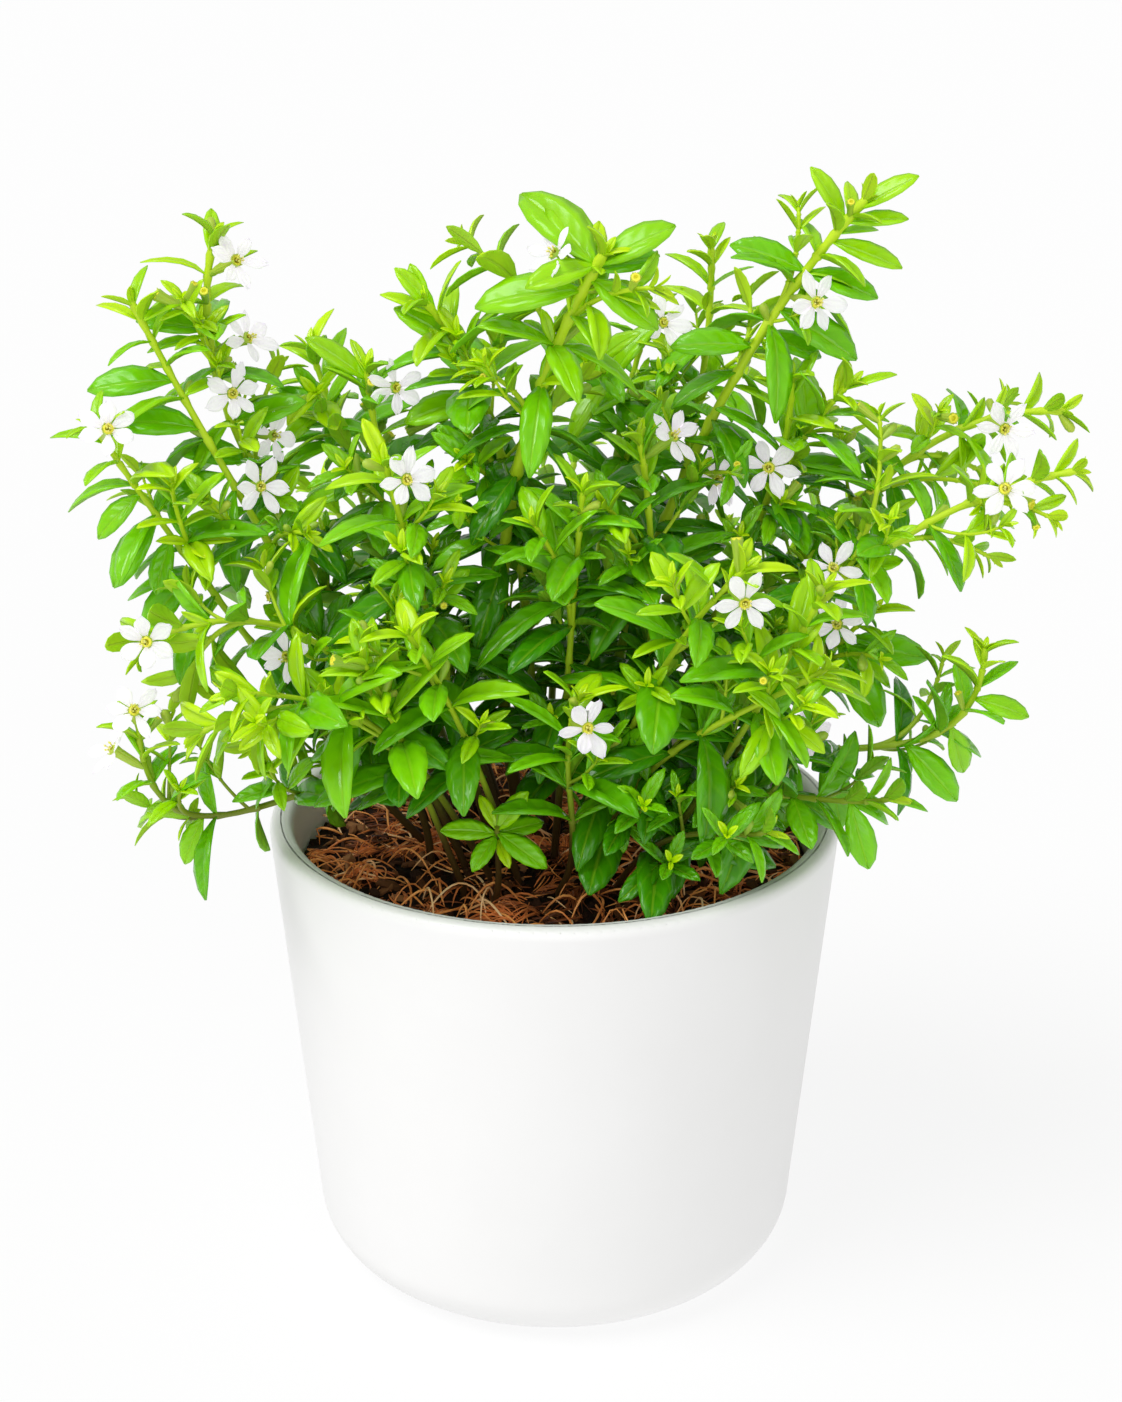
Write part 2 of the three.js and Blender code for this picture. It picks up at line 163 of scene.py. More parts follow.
def ring_at(height, radius, slack=0.0004):
    """A test for the points on a level ring round the Z axis."""
    return lambda co: abs(co.z - height) < slack and abs(math.hypot(co.x, co.y) - radius) < slack


def start_shape(name, add, **options):
    """Adds a basic shape, sets its place into its points and opens it for modelling."""
    bpy.ops.object.select_all(action="DESELECT")
    add(**options)
    shape = bpy.context.object
    shape.name = name
    bpy.ops.object.transform_apply(location=True, rotation=True, scale=True)
    bpy.ops.object.mode_set(mode="EDIT")
    bpy.ops.mesh.select_mode(type="VERT")
    return shape


def end_shape(sharp_angle=180):
    """Closes the shape and smooths its shading, except at edges sharper than the angle."""
    bpy.ops.object.mode_set(mode="OBJECT")
    if sharp_angle < 180:
        bpy.ops.object.shade_smooth_by_angle(angle=math.radians(sharp_angle))
    else:
        bpy.ops.object.shade_smooth()


def extrude_up(height):
    """Extrudes the selection, up or, with a height below 0, down."""
    bpy.ops.mesh.extrude_region_move(TRANSFORM_OT_translate={"value": (0, 0, height)})


def widen(factor, height=0.0):
    """Scales the selection round the Z axis."""
    bpy.ops.transform.resize(value=(factor, factor, 1), center_override=(0, 0, height))


def round_edges(offset, segments):
    """Rounds the selected edges."""
    bpy.ops.mesh.bevel(
        offset=offset, segments=segments, profile=0.5, affect="EDGES", clamp_overlap=False,
    )


pot = start_shape(
    "pot_glazed",
    bpy.ops.mesh.primitive_cone_add,
    vertices=144,
    radius1=POT_BASE_RADIUS,
    radius2=POT_RIM_RADIUS,
    depth=POT_HEIGHT,
    location=(0, 0, POT_HEIGHT / 2),
)
pick_points(pot, lambda co: co.z > POT_HEIGHT - 0.001)
bpy.ops.mesh.inset(thickness=POT_WALL)
extrude_up(POT_FLOOR - POT_HEIGHT)
floor_widening = (POT_RIM_RADIUS - POT_BASE_RADIUS) * POT_FLOOR / POT_HEIGHT
inner_base_radius = POT_BASE_RADIUS + floor_widening - POT_WALL
widen(inner_base_radius / (POT_RIM_RADIUS - POT_WALL), POT_FLOOR)
pick_points(pot, ring_at(POT_FLOOR, inner_base_radius))
round_edges(POT_INNER_ROUNDING, 6)
pick_points(pot, ring_at(0, POT_BASE_RADIUS))
round_edges(POT_BASE_ROUNDING, 12)
pick_points(pot, lambda co: co.z > POT_HEIGHT - 0.0001)
round_edges(POT_WALL * 0.47, 6)
end_shape(35)


def add_ramp(material, stops):
    """Adds a colour ramp with its stops, as (place, colour) pairs."""
    ramp = add_node(material, "ValToRGB")
    colors = ramp.color_ramp.elements
    while len(colors) < len(stops):
        colors.new(1)
    for stop, (place, color) in zip(colors, stops):
        stop.position = place
        stop.color = (*color, 1)
    return ramp


def object_texture(material, kind, **values):
    """Adds a texture that is laid out in metres through the whole object."""
    texture = add_node(material, kind, **values)
    wire(material, (add_node(material, "TexCoord"), "Object", texture, "Vector"))
    return texture


def add_bump(material, shader, height, output, strength, distance):
    """Adds a bump from a node's output and wires it to the shader."""
    bump = add_node(material, "Bump", Strength=strength, Distance=distance)
    wire(material, (height, output, bump, "Height"), (bump, "Normal", shader, "Normal"))


white_glaze, glaze = new_material(
    "white_glaze",
    Roughness=0.42,
    Specular_IOR_Level=0.4,
    Coat_Weight=0.08,
    Coat_Roughness=0.3,
)
glaze_cloud = object_texture(white_glaze, "TexNoise", Scale=28.0, Detail=4.0, Roughness=0.55)
glaze_tone = add_ramp(white_glaze, [(0.3, (0.85, 0.847, 0.84)), (0.7, (0.87, 0.868, 0.862))])
glaze_ripple = object_texture(white_glaze, "TexNoise", Scale=90.0, Detail=3.0, Roughness=0.5)
wire(
    white_glaze,
    (glaze_cloud, "Fac", glaze_tone, "Fac"),
    (glaze_tone, "Color", glaze, "Base Color"),
)
add_bump(white_glaze, glaze, glaze_ripple, "Fac", 0.12, 0.0004)
pot.data.materials.append(white_glaze)
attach(pot, "root")
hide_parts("pot")

# The soil is dark, damp potting mix that fills the pot to a shallow mound below the rim. Its
# surface is crumbly, with lumps of a few millimetres, and its buried part fits inside the wall.
SOIL_EDGE_HEIGHT = 0.095
SOIL_MOUND = 0.003
SOIL_RADIUS = 0.0579
SOIL_FOOT_RADIUS = 0.046
SOIL_FOOT_WIDENING = 1.08
SOIL_RINGS = 18
SOIL_LUMPS, SOIL_LUMP_HEIGHT = 150, 0.0022
SOIL_GRAINS, SOIL_GRAIN_HEIGHT = 480, 0.0012


def soil_height(x, y):
    """The height of the soil's surface, before its lumps."""
    share = min(math.hypot(x, y) / SOIL_RADIUS, 1)
    return SOIL_EDGE_HEIGHT + SOIL_MOUND * (1 - share * share)


soil = start_shape(
    "soil_mix",
    bpy.ops.mesh.primitive_circle_add,
    vertices=120,
    radius=SOIL_FOOT_RADIUS,
    fill_type="NGON",
    location=(0, 0, 0.0075),
)
bpy.ops.mesh.select_all(action="SELECT")
extrude_up(0.006)
widen(SOIL_FOOT_WIDENING, 0.0135)
extrude_up(SOIL_EDGE_HEIGHT - 0.0135)
widen(SOIL_RADIUS / (SOIL_FOOT_RADIUS * SOIL_FOOT_WIDENING), SOIL_EDGE_HEIGHT)
for ring in range(SOIL_RINGS):
    bpy.ops.mesh.inset(thickness=SOIL_RADIUS / (SOIL_RINGS + 1))
bpy.ops.mesh.poke()
pick_points(soil, lambda co: co.z > SOIL_EDGE_HEIGHT - 0.0001)
bpy.ops.mesh.subdivide(number_cuts=1)
bpy.ops.object.mode_set(mode="OBJECT")
for point in soil.data.vertices:
    if point.co.z > SOIL_EDGE_HEIGHT - 0.0001:
        x, y = point.co.x, point.co.y
        lumps = noise.noise((x * SOIL_LUMPS, y * SOIL_LUMPS, 0)) * SOIL_LUMP_HEIGHT
        grains = noise.noise((x * SOIL_GRAINS, y * SOIL_GRAINS, 5)) * SOIL_GRAIN_HEIGHT
        point.co.z = soil_height(x, y) + lumps + grains
bpy.ops.object.mode_set(mode="EDIT")
bpy.ops.mesh.select_all(action="SELECT")
bpy.ops.mesh.normals_make_consistent(inside=False)
end_shape(50)

potting_mix, mix_shader = new_material("potting_mix", Roughness=0.88, Specular_IOR_Level=0.25)
mix_grain = object_texture(potting_mix, "TexNoise", Scale=420.0, Detail=8.0, Roughness=0.7)
mix_patches = object_texture(potting_mix, "TexVoronoi", Scale=330.0)
mix_tone = add_ramp(potting_mix, [
    (0.35, (0.004, 0.0015, 0.0006)),
    (0.52, (0.014, 0.005, 0.002)),
    (0.68, (0.06, 0.022, 0.008)),
    (0.85, (0.17, 0.07, 0.025)),
])
wire(
    potting_mix,
    (mix_grain, "Fac", mix_tone, "Fac"),
    (mix_tone, "Color", mix_shader, "Base Color"),
)
add_bump(potting_mix, mix_shader, mix_patches, "Distance", 0.9, 0.0012)
soil.data.materials.append(potting_mix)
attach(soil, "root")
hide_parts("soil")

# Loose crumbs of bark and peat lie on the soil. Each is a small rough lump.
CRUMBS = 900
CRUMB_SIZES = (0.0005, 0.0007, 0.0009, 0.0012, 0.0016)
random.seed(11)
crumb_pattern = start_shape(
    "crumb_pattern", bpy.ops.mesh.primitive_ico_sphere_add, subdivisions=1, radius=1,
)
bpy.ops.mesh.select_all(action="SELECT")
bpy.ops.transform.vertex_random(offset=0.28, seed=4)
bpy.ops.object.mode_set(mode="OBJECT")


def join_copies(name, copies):
    """Makes one piece of placed copies. Each copy is (pattern, matrix, tint)."""
    bpy.ops.object.select_all(action="DESELECT")
    made = []
    for pattern, place, tint in copies:
        mesh = pattern.data.copy()
        mesh.transform(place)
        shade = mesh.attributes.new("tint", "FLOAT", "POINT")
        shade.data.foreach_set("value", [tint] * len(mesh.vertices))
        copy = bpy.data.objects.new(name, mesh)
        bpy.context.collection.objects.link(copy)
        copy.select_set(True)
        made.append(copy)
    bpy.context.view_layer.objects.active = made[0]
    if len(made) > 1:
        bpy.ops.object.join()
    piece = bpy.context.object
    piece.name = name
    return piece


def random_turn():
    """A random rotation of the seeded sequence."""
    axis = Vector((random.gauss(0, 1), random.gauss(0, 1), random.gauss(0, 1))).normalized()
    return Quaternion(axis, random.uniform(0, math.tau)).to_matrix().to_4x4()


crumb_copies = []
for _ in range(CRUMBS):
    radius = (SOIL_RADIUS - 0.0015) * math.sqrt(random.random())
    angle = random.uniform(0, math.tau)
    x, y = radius * math.cos(angle), radius * math.sin(angle)
    size = random.choice(CRUMB_SIZES) * random.uniform(0.8, 1.2)
    long, flat = random.uniform(1, 2.8), random.uniform(0.4, 1)
    stretch = Matrix.Diagonal((size * long, size, size * flat, 1))
    place = Matrix.Translation((x, y, soil_height(x, y) + size * 0.4)) @ random_turn() @ stretch
    crumb_copies.append((crumb_pattern, place, random.random()))
crumbs = join_copies("soil_crumbs", crumb_copies)
bpy.data.objects.remove(crumb_pattern)

crumb_mix, crumb_shader = new_material("crumb_mix", Roughness=0.85, Specular_IOR_Level=0.3)
crumb_tint = add_node(crumb_mix, "Attribute", attribute_name="tint")
crumb_tone = add_ramp(crumb_mix, [
    (0.0, (0.008, 0.003, 0.0012)),
    (0.4, (0.05, 0.018, 0.006)),
    (0.75, (0.20, 0.08, 0.025)),
    (1.0, (0.38, 0.18, 0.07)),
])
crumb_grain = object_texture(crumb_mix, "TexNoise", Scale=900.0, Detail=4.0)
wire(
    crumb_mix,
    (crumb_tint, "Fac", crumb_tone, "Fac"),
    (crumb_tone, "Color", crumb_shader, "Base Color"),
)
add_bump(crumb_mix, crumb_shader, crumb_grain, "Fac", 0.7, 0.0004)
crumbs.data.materials.append(crumb_mix)
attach(crumbs, "root")

# Coir fibres are mixed through the potting mix and lie tangled over it: in combed tufts, in
# single curls, and in a few long loose loops. They run from dark brown through orange to tan.
FIBRE_STEP = 0.0016


def lay_fibres(name, seed, tufts, strands_each, thickness, shortest, longest, loops):
    """Curled strands on the soil, as one piece. loops is how high the strands stand up."""
    random.seed(seed)
    bpy.ops.object.select_all(action="DESELECT")
    bpy.ops.curve.primitive_nurbs_path_add()
    strands = bpy.context.object
    strands.name = name
    strands.data.splines.clear()
    for _ in range(tufts):
        radius = (SOIL_RADIUS - 0.002) * math.sqrt(random.random())
        angle = random.uniform(0, math.tau)
        middle_x, middle_y = radius * math.cos(angle), radius * math.sin(angle)
        tuft_heading = random.uniform(0, math.tau)
        tuft_curl = random.gauss(0, 110)
        scatter = 0.0011 if strands_each > 1 else 0
        for _ in range(strands_each):
            x = middle_x + random.gauss(0, scatter)
            y = middle_y + random.gauss(0, scatter)
            heading = tuft_heading + random.gauss(0, 0.22)
            curl = tuft_curl + random.gauss(0, 30)
            steps = max(5, int(random.uniform(shortest, longest) / FIBRE_STEP))
            arch = random.random() ** 2 * loops
            bed = random.uniform(0.0003, 0.0011)
            points = []
            for i in range(steps + 1):
                if math.hypot(x, y) > SOIL_RADIUS - 0.0016:
                    heading = math.atan2(-y, -x) + random.uniform(-0.7, 0.7)
                rise = arch * math.sin(math.pi * i / steps)
                points.append((x, y, soil_height(x, y) + bed + rise))
                curl = curl * 0.88 + random.gauss(0, 48)
                heading += curl * FIBRE_STEP
                x += math.cos(heading) * FIBRE_STEP
                y += math.sin(heading) * FIBRE_STEP
            spline = strands.data.splines.new("POLY")
            spline.points.add(len(points) - 1)
            width = random.uniform(0.6, 1.3)
            for i, (point, place) in enumerate(zip(spline.points, points)):
                point.co = (*place, 1)
                point.radius = width * (1 - 0.65 * abs(2 * i / steps - 1) ** 3)
    strands.data.bevel_depth = thickness
    strands.data.bevel_resolution = 0
    strands.data.use_fill_caps = True
    bpy.ops.object.convert(target="MESH")
    bpy.ops.object.shade_smooth()
    return strands


def fibre_material(name, dark, light):
    """Plant fibre with a slight sheen, whose tone drifts along the strands. It also glows faintly
    in that tone, which is painted light that brightens it.
    """
    # The faint emission in the fibres' own tone is painted light: the fibres glow though they are
    # no lamp.
    material, shader = new_material(
        name, Roughness=0.45, Specular_IOR_Level=0.5, Emission_Strength=0.09,
    )
    drift = object_texture(material, "TexNoise", Scale=150.0, Detail=3.0)
    tone = add_ramp(material, [(0.35, dark), (0.65, light)])
    grain = object_texture(material, "TexNoise", Scale=1500.0, Detail=2.0)
    wire(
        material,
        (drift, "Fac", tone, "Fac"),
        (tone, "Color", shader, "Base Color"),
        # Painted light: the tone also drives the fibres' glow.
        (tone, "Color", shader, "Emission Color"),
    )
    add_bump(material, shader, grain, "Fac", 0.4, 0.0001)
    return material


coir_dark = fibre_material("coir_dark_brown", (0.03, 0.007, 0.002), (0.26, 0.072, 0.016))
coir_red = fibre_material("coir_red_brown", (0.12, 0.03, 0.007), (0.82, 0.25, 0.06))
coir_orange = fibre_material("coir_orange_brown", (0.55, 0.16, 0.03), (1.0, 0.44, 0.12))
coir_tan = fibre_material("coir_tan", (0.85, 0.40, 0.13), (1.0, 0.72, 0.38))
for strands, material in (
    (lay_fibres("coir_dark_tufts", 21, 84, 8, 0.00022, 0.005, 0.013, 0.002), coir_dark),
    (lay_fibres("coir_red_tufts", 22, 84, 9, 0.00021, 0.004, 0.011, 0.003), coir_red),
    (lay_fibres("coir_orange_curls", 23, 330, 1, 0.00025, 0.006, 0.02, 0.006), coir_orange),
    (lay_fibres("coir_tan_curls", 24, 110, 1, 0.00026, 0.006, 0.02, 0.007), coir_tan),
):
    strands.data.materials.append(material)
    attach(strands, "root")

# The stems are thin and wiry, with a small swelling at each pair of leaves. They are olive to
# reddish brown near the soil and lime green above. Each passes through four points, in
# millimetres with heights from the soil's datum: its foot, two on the way and its tip. The last
# number is its radius at the foot.
MM = 1000
SOIL_DATUM = 0.0965
STRAIGHT_FOOT = 0.003
ROOTED_DEPTH = 0.012
STEMS = {
    "left_tall": ((-24, 8, 0), (-44, 4, 52), (-67, -3, 97), (-70, -8, 144), 1.2),
    "left_long": ((-22, -3, 0), (-45, -7, 46), (-67, -12, 89), (-87, -15, 131), 1.1),
    "left_outer": ((-30, 0, 0), (-54, -14, 40), (-76, -22, 76), (-94, -28, 108), 1),
    "left_level": ((-20, -14, 0), (-35, -24, 42), (-55, -34, 66), (-85, -40, 65), 0.9),
    "left_low": ((-14, -20, 0), (-29, -35, 36), (-46, -46, 53), (-72, -52, 50), 0.9),
    "left_skirt": ((-28, -9, 0), (-44, -22, 27), (-72, -34, 24), (-87, -38, 48), 0.9),
    "mid_left": ((-14, -6, 0), (-22, -15, 42), (-29, -26, 76), (-34, -36, 102), 1),
    "upper_left": ((-12, 8, 0), (-24, 6, 44), (-35, 4, 82), (-40, 0, 113), 1),
    "upper_left_back": ((-20, 18, 0), (-33, 22, 42), (-45, 26, 80), (-55, 28, 112), 1),
    "center_left": ((-3, 5, 0), (-6, 9, 50), (-12, 4, 95), (-27, -6, 129), 1.2),
    "center_main": ((-8, 14, 0), (-12, 2, 55), (-6, -14, 102), (10, -28, 143), 1.6),
    "center_back": ((0, 24, 0), (7, 30, 42), (14, 34, 84), (22, 36, 119), 1),
    "vertical_right": ((11, 25, 0), (22, 30, 44), (32, 32, 92), (35, 32, 134), 1.1),
    "right_long": ((7, 10, 0), (16, 6, 51), (34, -2, 103), (64, -10, 151), 1.4),
    "inner": ((14, -4, 0), (20, -8, 38), (21, -14, 72), (18, -18, 102), 1),
    "right_mid": ((16, 5, 0), (30, 4, 42), (45, 0, 80), (50, -8, 113), 1.1),
    "right_high": ((22, 14, 0), (46, 12, 48), (73, 6, 88), (110, 0, 104), 1.2),
    "right_level": ((20, -4, 0), (42, -12, 46), (70, -22, 80), (107, -30, 99), 1.1),
    "right_front": ((8, -17, 0), (20, -34, 34), (38, -46, 52), (55, -52, 64), 0.9),
    "right_sweep": ((25, -2, 0), (48, -15, 30), (77, -24, 37), (91, -28, 60), 1),
    "right_skirt": ((22, -13, 0), (36, -28, 25), (52, -38, 30), (70, -44, 32), 0.9),
    "right_low": ((14, -24, 0), (24, -38, 20), (34, -46, 25), (44, -52, 28), 0.8),
    "right_bushy": ((28, 7, 0), (44, 2, 28), (57, -4, 46), (69, -10, 62), 0.9),
    "front_flowering": ((1, -27, 0), (4, -36, 20), (3, -42, 38), (5, -46, 55), 0.8),
    "front_seedling": ((-13, -31, 0), (-12, -34, 9), (-12, -37, 17), (-12, -40, 24), 0.8),
    "front_left": ((-20, -25, 0), (-26, -36, 26), (-32, -47, 48), (-38, -54, 66), 0.8),
    "front_middle": ((-8, -21, 0), (-14, -32, 28), (-21, -44, 52), (-29, -54, 72), 0.8),
    "front_right": ((7, -10, 0), (14, -26, 34), (24, -40, 62), (38, -50, 84), 0.9),
    "front_far_right": ((20, -20, 0), (32, -34, 30), (44, -44, 56), (54, -50, 80), 0.9),
    "young": ((0, -8, 0), (2, -15, 34), (4, -22, 66), (6, -28, 94), 0.9),
    "back_left": ((-14, 27, 0), (-26, 42, 30), (-42, 56, 52), (-60, 66, 68), 1),
    "back_middle": ((-2, 32, 0), (0, 50, 34), (2, 66, 58), (6, 78, 76), 1),
    "back_right": ((20, 26, 0), (34, 40, 30), (52, 54, 50), (72, 62, 62), 1),
}

# Side shoots: the stem, the share of its length where the shoot leaves it, and the shoot's tip.
SHOOTS = (
    ("left_tall", 0.78, (-76, -18, 132)),
    ("left_long", 0.55, (-52, -24, 84)),
    ("left_outer", 0.6, (-78, -32, 96)),
    ("center_left", 0.6, (-27, 12, 100)),
    ("center_main", 0.8, (-18, -5, 141)),
    ("center_main", 0.86, (20, -32, 137)),
    ("right_long", 0.7, (42, 8, 128)),
    ("right_long", 0.8, (51, -2, 148)),
    ("right_mid", 0.7, (62, -10, 112)),
    ("right_level", 0.55, (68, -16, 107)),
    ("right_sweep", 0.6, (85, -12, 52)),
    ("vertical_right", 0.6, (24, 22, 107)),
    ("inner", 0.6, (11, -26, 90)),
    ("left_low", 0.6, (-64, -56, 60)),
    ("young", 0.6, (-4, -32, 88)),
)

# Small inner shoots that fill the crown, given in the same way.
INNER_SHOOTS = (
    ("right_high", 0.45, (72, -6, 82)),
    ("right_high", 0.6, (94, -12, 90)),
    ("right_high", 0.72, (100, 8, 84)),
    ("right_level", 0.5, (66, -14, 82)),
    ("right_level", 0.68, (92, -22, 78)),
    ("right_level", 0.8, (102, -34, 90)),
    ("center_back", 0.7, (8, 12, 112)),
    ("center_back", 0.55, (20, 14, 96)),
    ("center_main", 0.62, (6, -4, 112)),
    ("center_main", 0.7, (-16, -18, 118)),
    ("center_left", 0.75, (-20, -8, 122)),
    ("center_left", 0.5, (-18, -12, 96)),
    ("vertical_right", 0.7, (44, 22, 112)),
    ("right_long", 0.5, (40, -16, 94)),
    ("upper_left_back", 0.7, (-52, 8, 106)),
    ("upper_left", 0.6, (-44, -10, 94)),
    ("left_tall", 0.6, (-60, 8, 112)),
    ("right_bushy", 0.7, (70, -18, 54)),
    ("left_level", 0.75, (-78, -30, 52)),
    ("left_skirt", 0.7, (-78, -44, 34)),
    ("left_low", 0.75, (-62, -44, 44)),
)


class Path:
    """A line of points with its lengths, so that a place on it is found by its share."""

    def __init__(self, points):
        self.points = points
        self.lengths = [0.0]
        for before, after in zip(points, points[1:]):
            self.lengths.append(self.lengths[-1] + (after - before).length)
        self.length = self.lengths[-1]

    def at(self, share):
        """The point at a share of the length, and the direction of growth there."""
        reach = min(max(share, 0), 1) * self.length
        piece = 0
        while piece < len(self.points) - 2 and self.lengths[piece + 1] < reach:
            piece += 1
        before, after = self.points[piece], self.points[piece + 1]
        span = self.lengths[piece + 1] - self.lengths[piece]
        point = before.lerp(after, (reach - self.lengths[piece]) / span)
        return point, (after - before).normalized()


def plant_point(place):
    """A point of the plant, given in millimetres and with its height from the soil's datum."""
    x, y, z = (number / MM for number in place)
    return Vector((x, y, z + SOIL_DATUM))


# How many straight steps make a stem, a bent shoot and a drawn strand, and how far everything
# that grows stays from the pot and the soil.
STEM_STEPS = 48
BEND_STEPS = 16
STRAND_STEPS = 40
POT_GAP = 0.001


def stem_path(foot, lower, upper, tip):
    """The cubic curve from the foot to the tip that passes through the two points between."""
    a, b, c, d = (plant_point(place) for place in (foot, lower, upper, tip))
    a.z += STRAIGHT_FOOT
    first = (-5 * a + 18 * b - 9 * c + 2 * d) / 6
    second = (2 * a - 9 * b + 18 * c - 5 * d) / 6
    points = []
    for i in range(STEM_STEPS + 1):
        t = i / STEM_STEPS
        near, far = 3 * (1 - t) ** 2 * t, 3 * (1 - t) * t * t
        points.append((1 - t) ** 3 * a + near * first + far * second + t ** 3 * d)
    return Path(points)


def bent_path(start, turn, end):
    """A path from start to end that bends once, towards turn."""
    points = []
    for i in range(BEND_STEPS + 1):
        t = i / BEND_STEPS
        points.append((1 - t) ** 2 * start + 2 * (1 - t) * t * turn + t * t * end)
    return Path(points)


def shoot_path(stem, share, tip):
    """A shoot that leaves a stem along it and bends out to its own tip."""
    start, along = stem.at(share)
    end = plant_point(tip)
    return bent_path(start, start + along * (end - start).length / 2, end)


def meets_pot(point):
    """Whether a point lies in the soil or the pot's wall, or nearer to them than the gap."""
    if point.z > POT_HEIGHT + POT_GAP:
        return False
    reach = math.hypot(point.x, point.y)
    outside = POT_BASE_RADIUS + (POT_RIM_RADIUS - POT_BASE_RADIUS) * point.z / POT_HEIGHT
    if reach > outside + POT_GAP:
        return False
    in_wall = reach > outside - POT_WALL - POT_GAP
    return in_wall or point.z < soil_height(point.x, point.y) + POT_GAP


# The flowers, each as its stem, the share of its length where it stands, and the azimuth and
# elevation that it faces. Twigs and leaves keep clear of them.
FLOWERS = (
    ("left_tall", 0.94, -30, 25),
    ("left_tall", 0.83, 0, 20),
    ("left_tall", 0.77, -65, 10),
    ("left_tall", 0.71, -10, -5),
    ("left_long", 0.69, -40, 10),
    ("left_outer", 0.97, -70, 30),
    ("left_level", 0.96, -100, 10),
    ("left_level", 0.66, -120, -10),
    ("left_skirt", 0.98, -85, 45),
    ("left_skirt", 0.88, 170, 30),
    ("mid_left", 0.96, -60, 15),
    ("upper_left", 0.97, -40, 5),
    ("center_main", 0.96, 180, 35),
    ("center_back", 0.96, -60, 20),
    ("inner", 0.96, -10, 40),
    ("right_long", 0.56, -40, 0),
    ("right_long", 0.84, -50, 0),
    ("right_mid", 0.82, -110, 10),
    ("right_high", 0.88, -70, 0),
    ("right_level", 0.88, -90, 20),
    ("right_level", 0.58, -100, 50),
    ("right_bushy", 0.9, -120, 30),
    ("right_sweep", 0.48, -100, 40),
    ("front_right", 0.95, -70, -10),
    ("front_flowering", 0.9, -65, 10),
)
CALYX_LENGTH = 0.0076
FLOWER_REACH = 0.0055
CLEAR_AHEAD = 0.009
CLEAR_BEHIND = 0.001


def facing(azimuth, elevation):
    """The direction of an azimuth, 0 to +X and -90 to the front, and an elevation."""
    flat = math.cos(math.radians(elevation))
    return Vector((
        flat * math.cos(math.radians(azimuth)),
        flat * math.sin(math.radians(azimuth)),
        math.sin(math.radians(elevation)),
    ))


flower_faces = []
for on, share, azimuth, elevation in FLOWERS:
    foot, lower, upper, tip, radius = STEMS[on]
    point, along = stem_path(foot, lower, upper, tip).at(share)
    toward = facing(azimuth, elevation)
    seat = point + toward * (radius / MM * 0.7)
    to_light = (toward + Vector((0, -0.6, 0.25))).normalized()
    flower_faces.append((seat, toward, seat + toward * (CALYX_LENGTH - 0.0002), to_light))


def hides_flower(point):
    """Whether a point stands over the face of a flower."""
    for seat, toward, mouth, to_light in flower_faces:
        ahead = (point - mouth).dot(to_light)
        aside = (point - mouth - to_light * ahead).length
        if -CLEAR_BEHIND < ahead < CLEAR_AHEAD and aside < FLOWER_REACH:
            return True
    return False


def hides_soil(point):
    """Whether a point hangs low in front, where the soil lies open, most of all on the left."""
    if not -0.052 < point.x < 0.034:
        return False
    back = 0.028 if point.x < -0.003 else -0.024
    return point.y < back and point.z < 0.098 + 0.43 * (back - point.y)


# Each stem is bare for some way above the soil.
BARE_LENGTH = 0.03
BARE_LENGTHS = {
    "front_seedling": 0.022,
    "front_flowering": 0.02,
    "right_low": 0.018,
    "right_skirt": 0.018,
    "right_front": 0.02,
    "right_bushy": 0.02,
    "right_sweep": 0.02,
    "front_far_right": 0.018,
    "left_skirt": 0.018,
    "front_left": 0.044,
    "front_middle": 0.044,
    "left_low": 0.042,
    "mid_left": 0.04,
}


# The long stems grow faster than the rest, so their pairs of leaves stand further apart and
# hang, with few twigs between them.
PAIR_GAP = 0.0092
TIP_PAIR_GAP = 0.0036
PAIR_GAP_GROWTH = 1.28
LAST_PAIR_BELOW_TIP = 0.0015
LONG_PAIR_GAPS = {
    "left_long": 0.0145,
    "left_outer": 0.0145,
    "right_long": 0.0125,
    "center_main": 0.0115,
    "right_sweep": 0.0125,
}
TWIG_GAP = 0.011
LONG_TWIG_GAP = 0.032
LAST_TWIG_SHARE = 0.84

# Shoots and twigs are thinner than the stems, and their pairs stand closer together.
SHOOT_RADIUS = 0.0007
SHOOT_PAIR_GAP = 0.0078
TWIG_RADIUS = 0.00045
TWIG_PAIR_GAP = 0.0066
TIP_SHARE = 0.6
NODE_SWELLING = 1.35
STRAND_UNIT = 0.001


def around(axis, angle):
    """A direction square to an axis, turned round it by an angle."""
    return Quaternion(axis, angle) @ axis.orthogonal().normalized()


def side_twigs(stem, bare, gap, rng):
    """Short leafy twigs from the axils of a stem, above its bare foot."""
    twigs = []
    share = bare / stem.length + rng.uniform(0, 0.06)
    while share < LAST_TWIG_SHARE:
        start, along = stem.at(share)
        out = around(along, rng.uniform(0, math.tau))
        half = rng.uniform(0.006, 0.014) * (1.2 - 0.6 * share)
        turn = start + (out * 0.8 + along * 0.6).normalized() * half
        end = turn + (out * 0.5 + along * 0.3 + Vector((0, 0, 0.55))).normalized() * half
        if not any(meets_pot(point) or hides_flower(point) for point in (turn, end)):
            twigs.append(bent_path(start, turn, end))
        share += gap * rng.uniform(0.75, 1.3) / stem.length
    return twigs


def add_strand(curve, path, base, tip, nodes, rooted=0.0):
    """Adds a tapered strand to a curve, with a swelling at each share in nodes."""
    stops = sorted({i / STRAND_STEPS for i in range(STRAND_STEPS + 1)} | set(nodes))
    places = [path.at(share)[0] for share in stops]
    radii = []
    for share in stops:
        swelling = NODE_SWELLING if share in nodes else 1
        radii.append((base + (tip - base) * share) * swelling)
    if rooted:
        places.insert(0, places[0] - Vector((0, 0, rooted)))
        radii.insert(0, radii[0])
    spline = curve.splines.new("POLY")
    spline.points.add(len(places) - 1)
    for point, place, radius in zip(spline.points, places, radii):
        point.co = (*place, 1)
        point.radius = radius / STRAND_UNIT


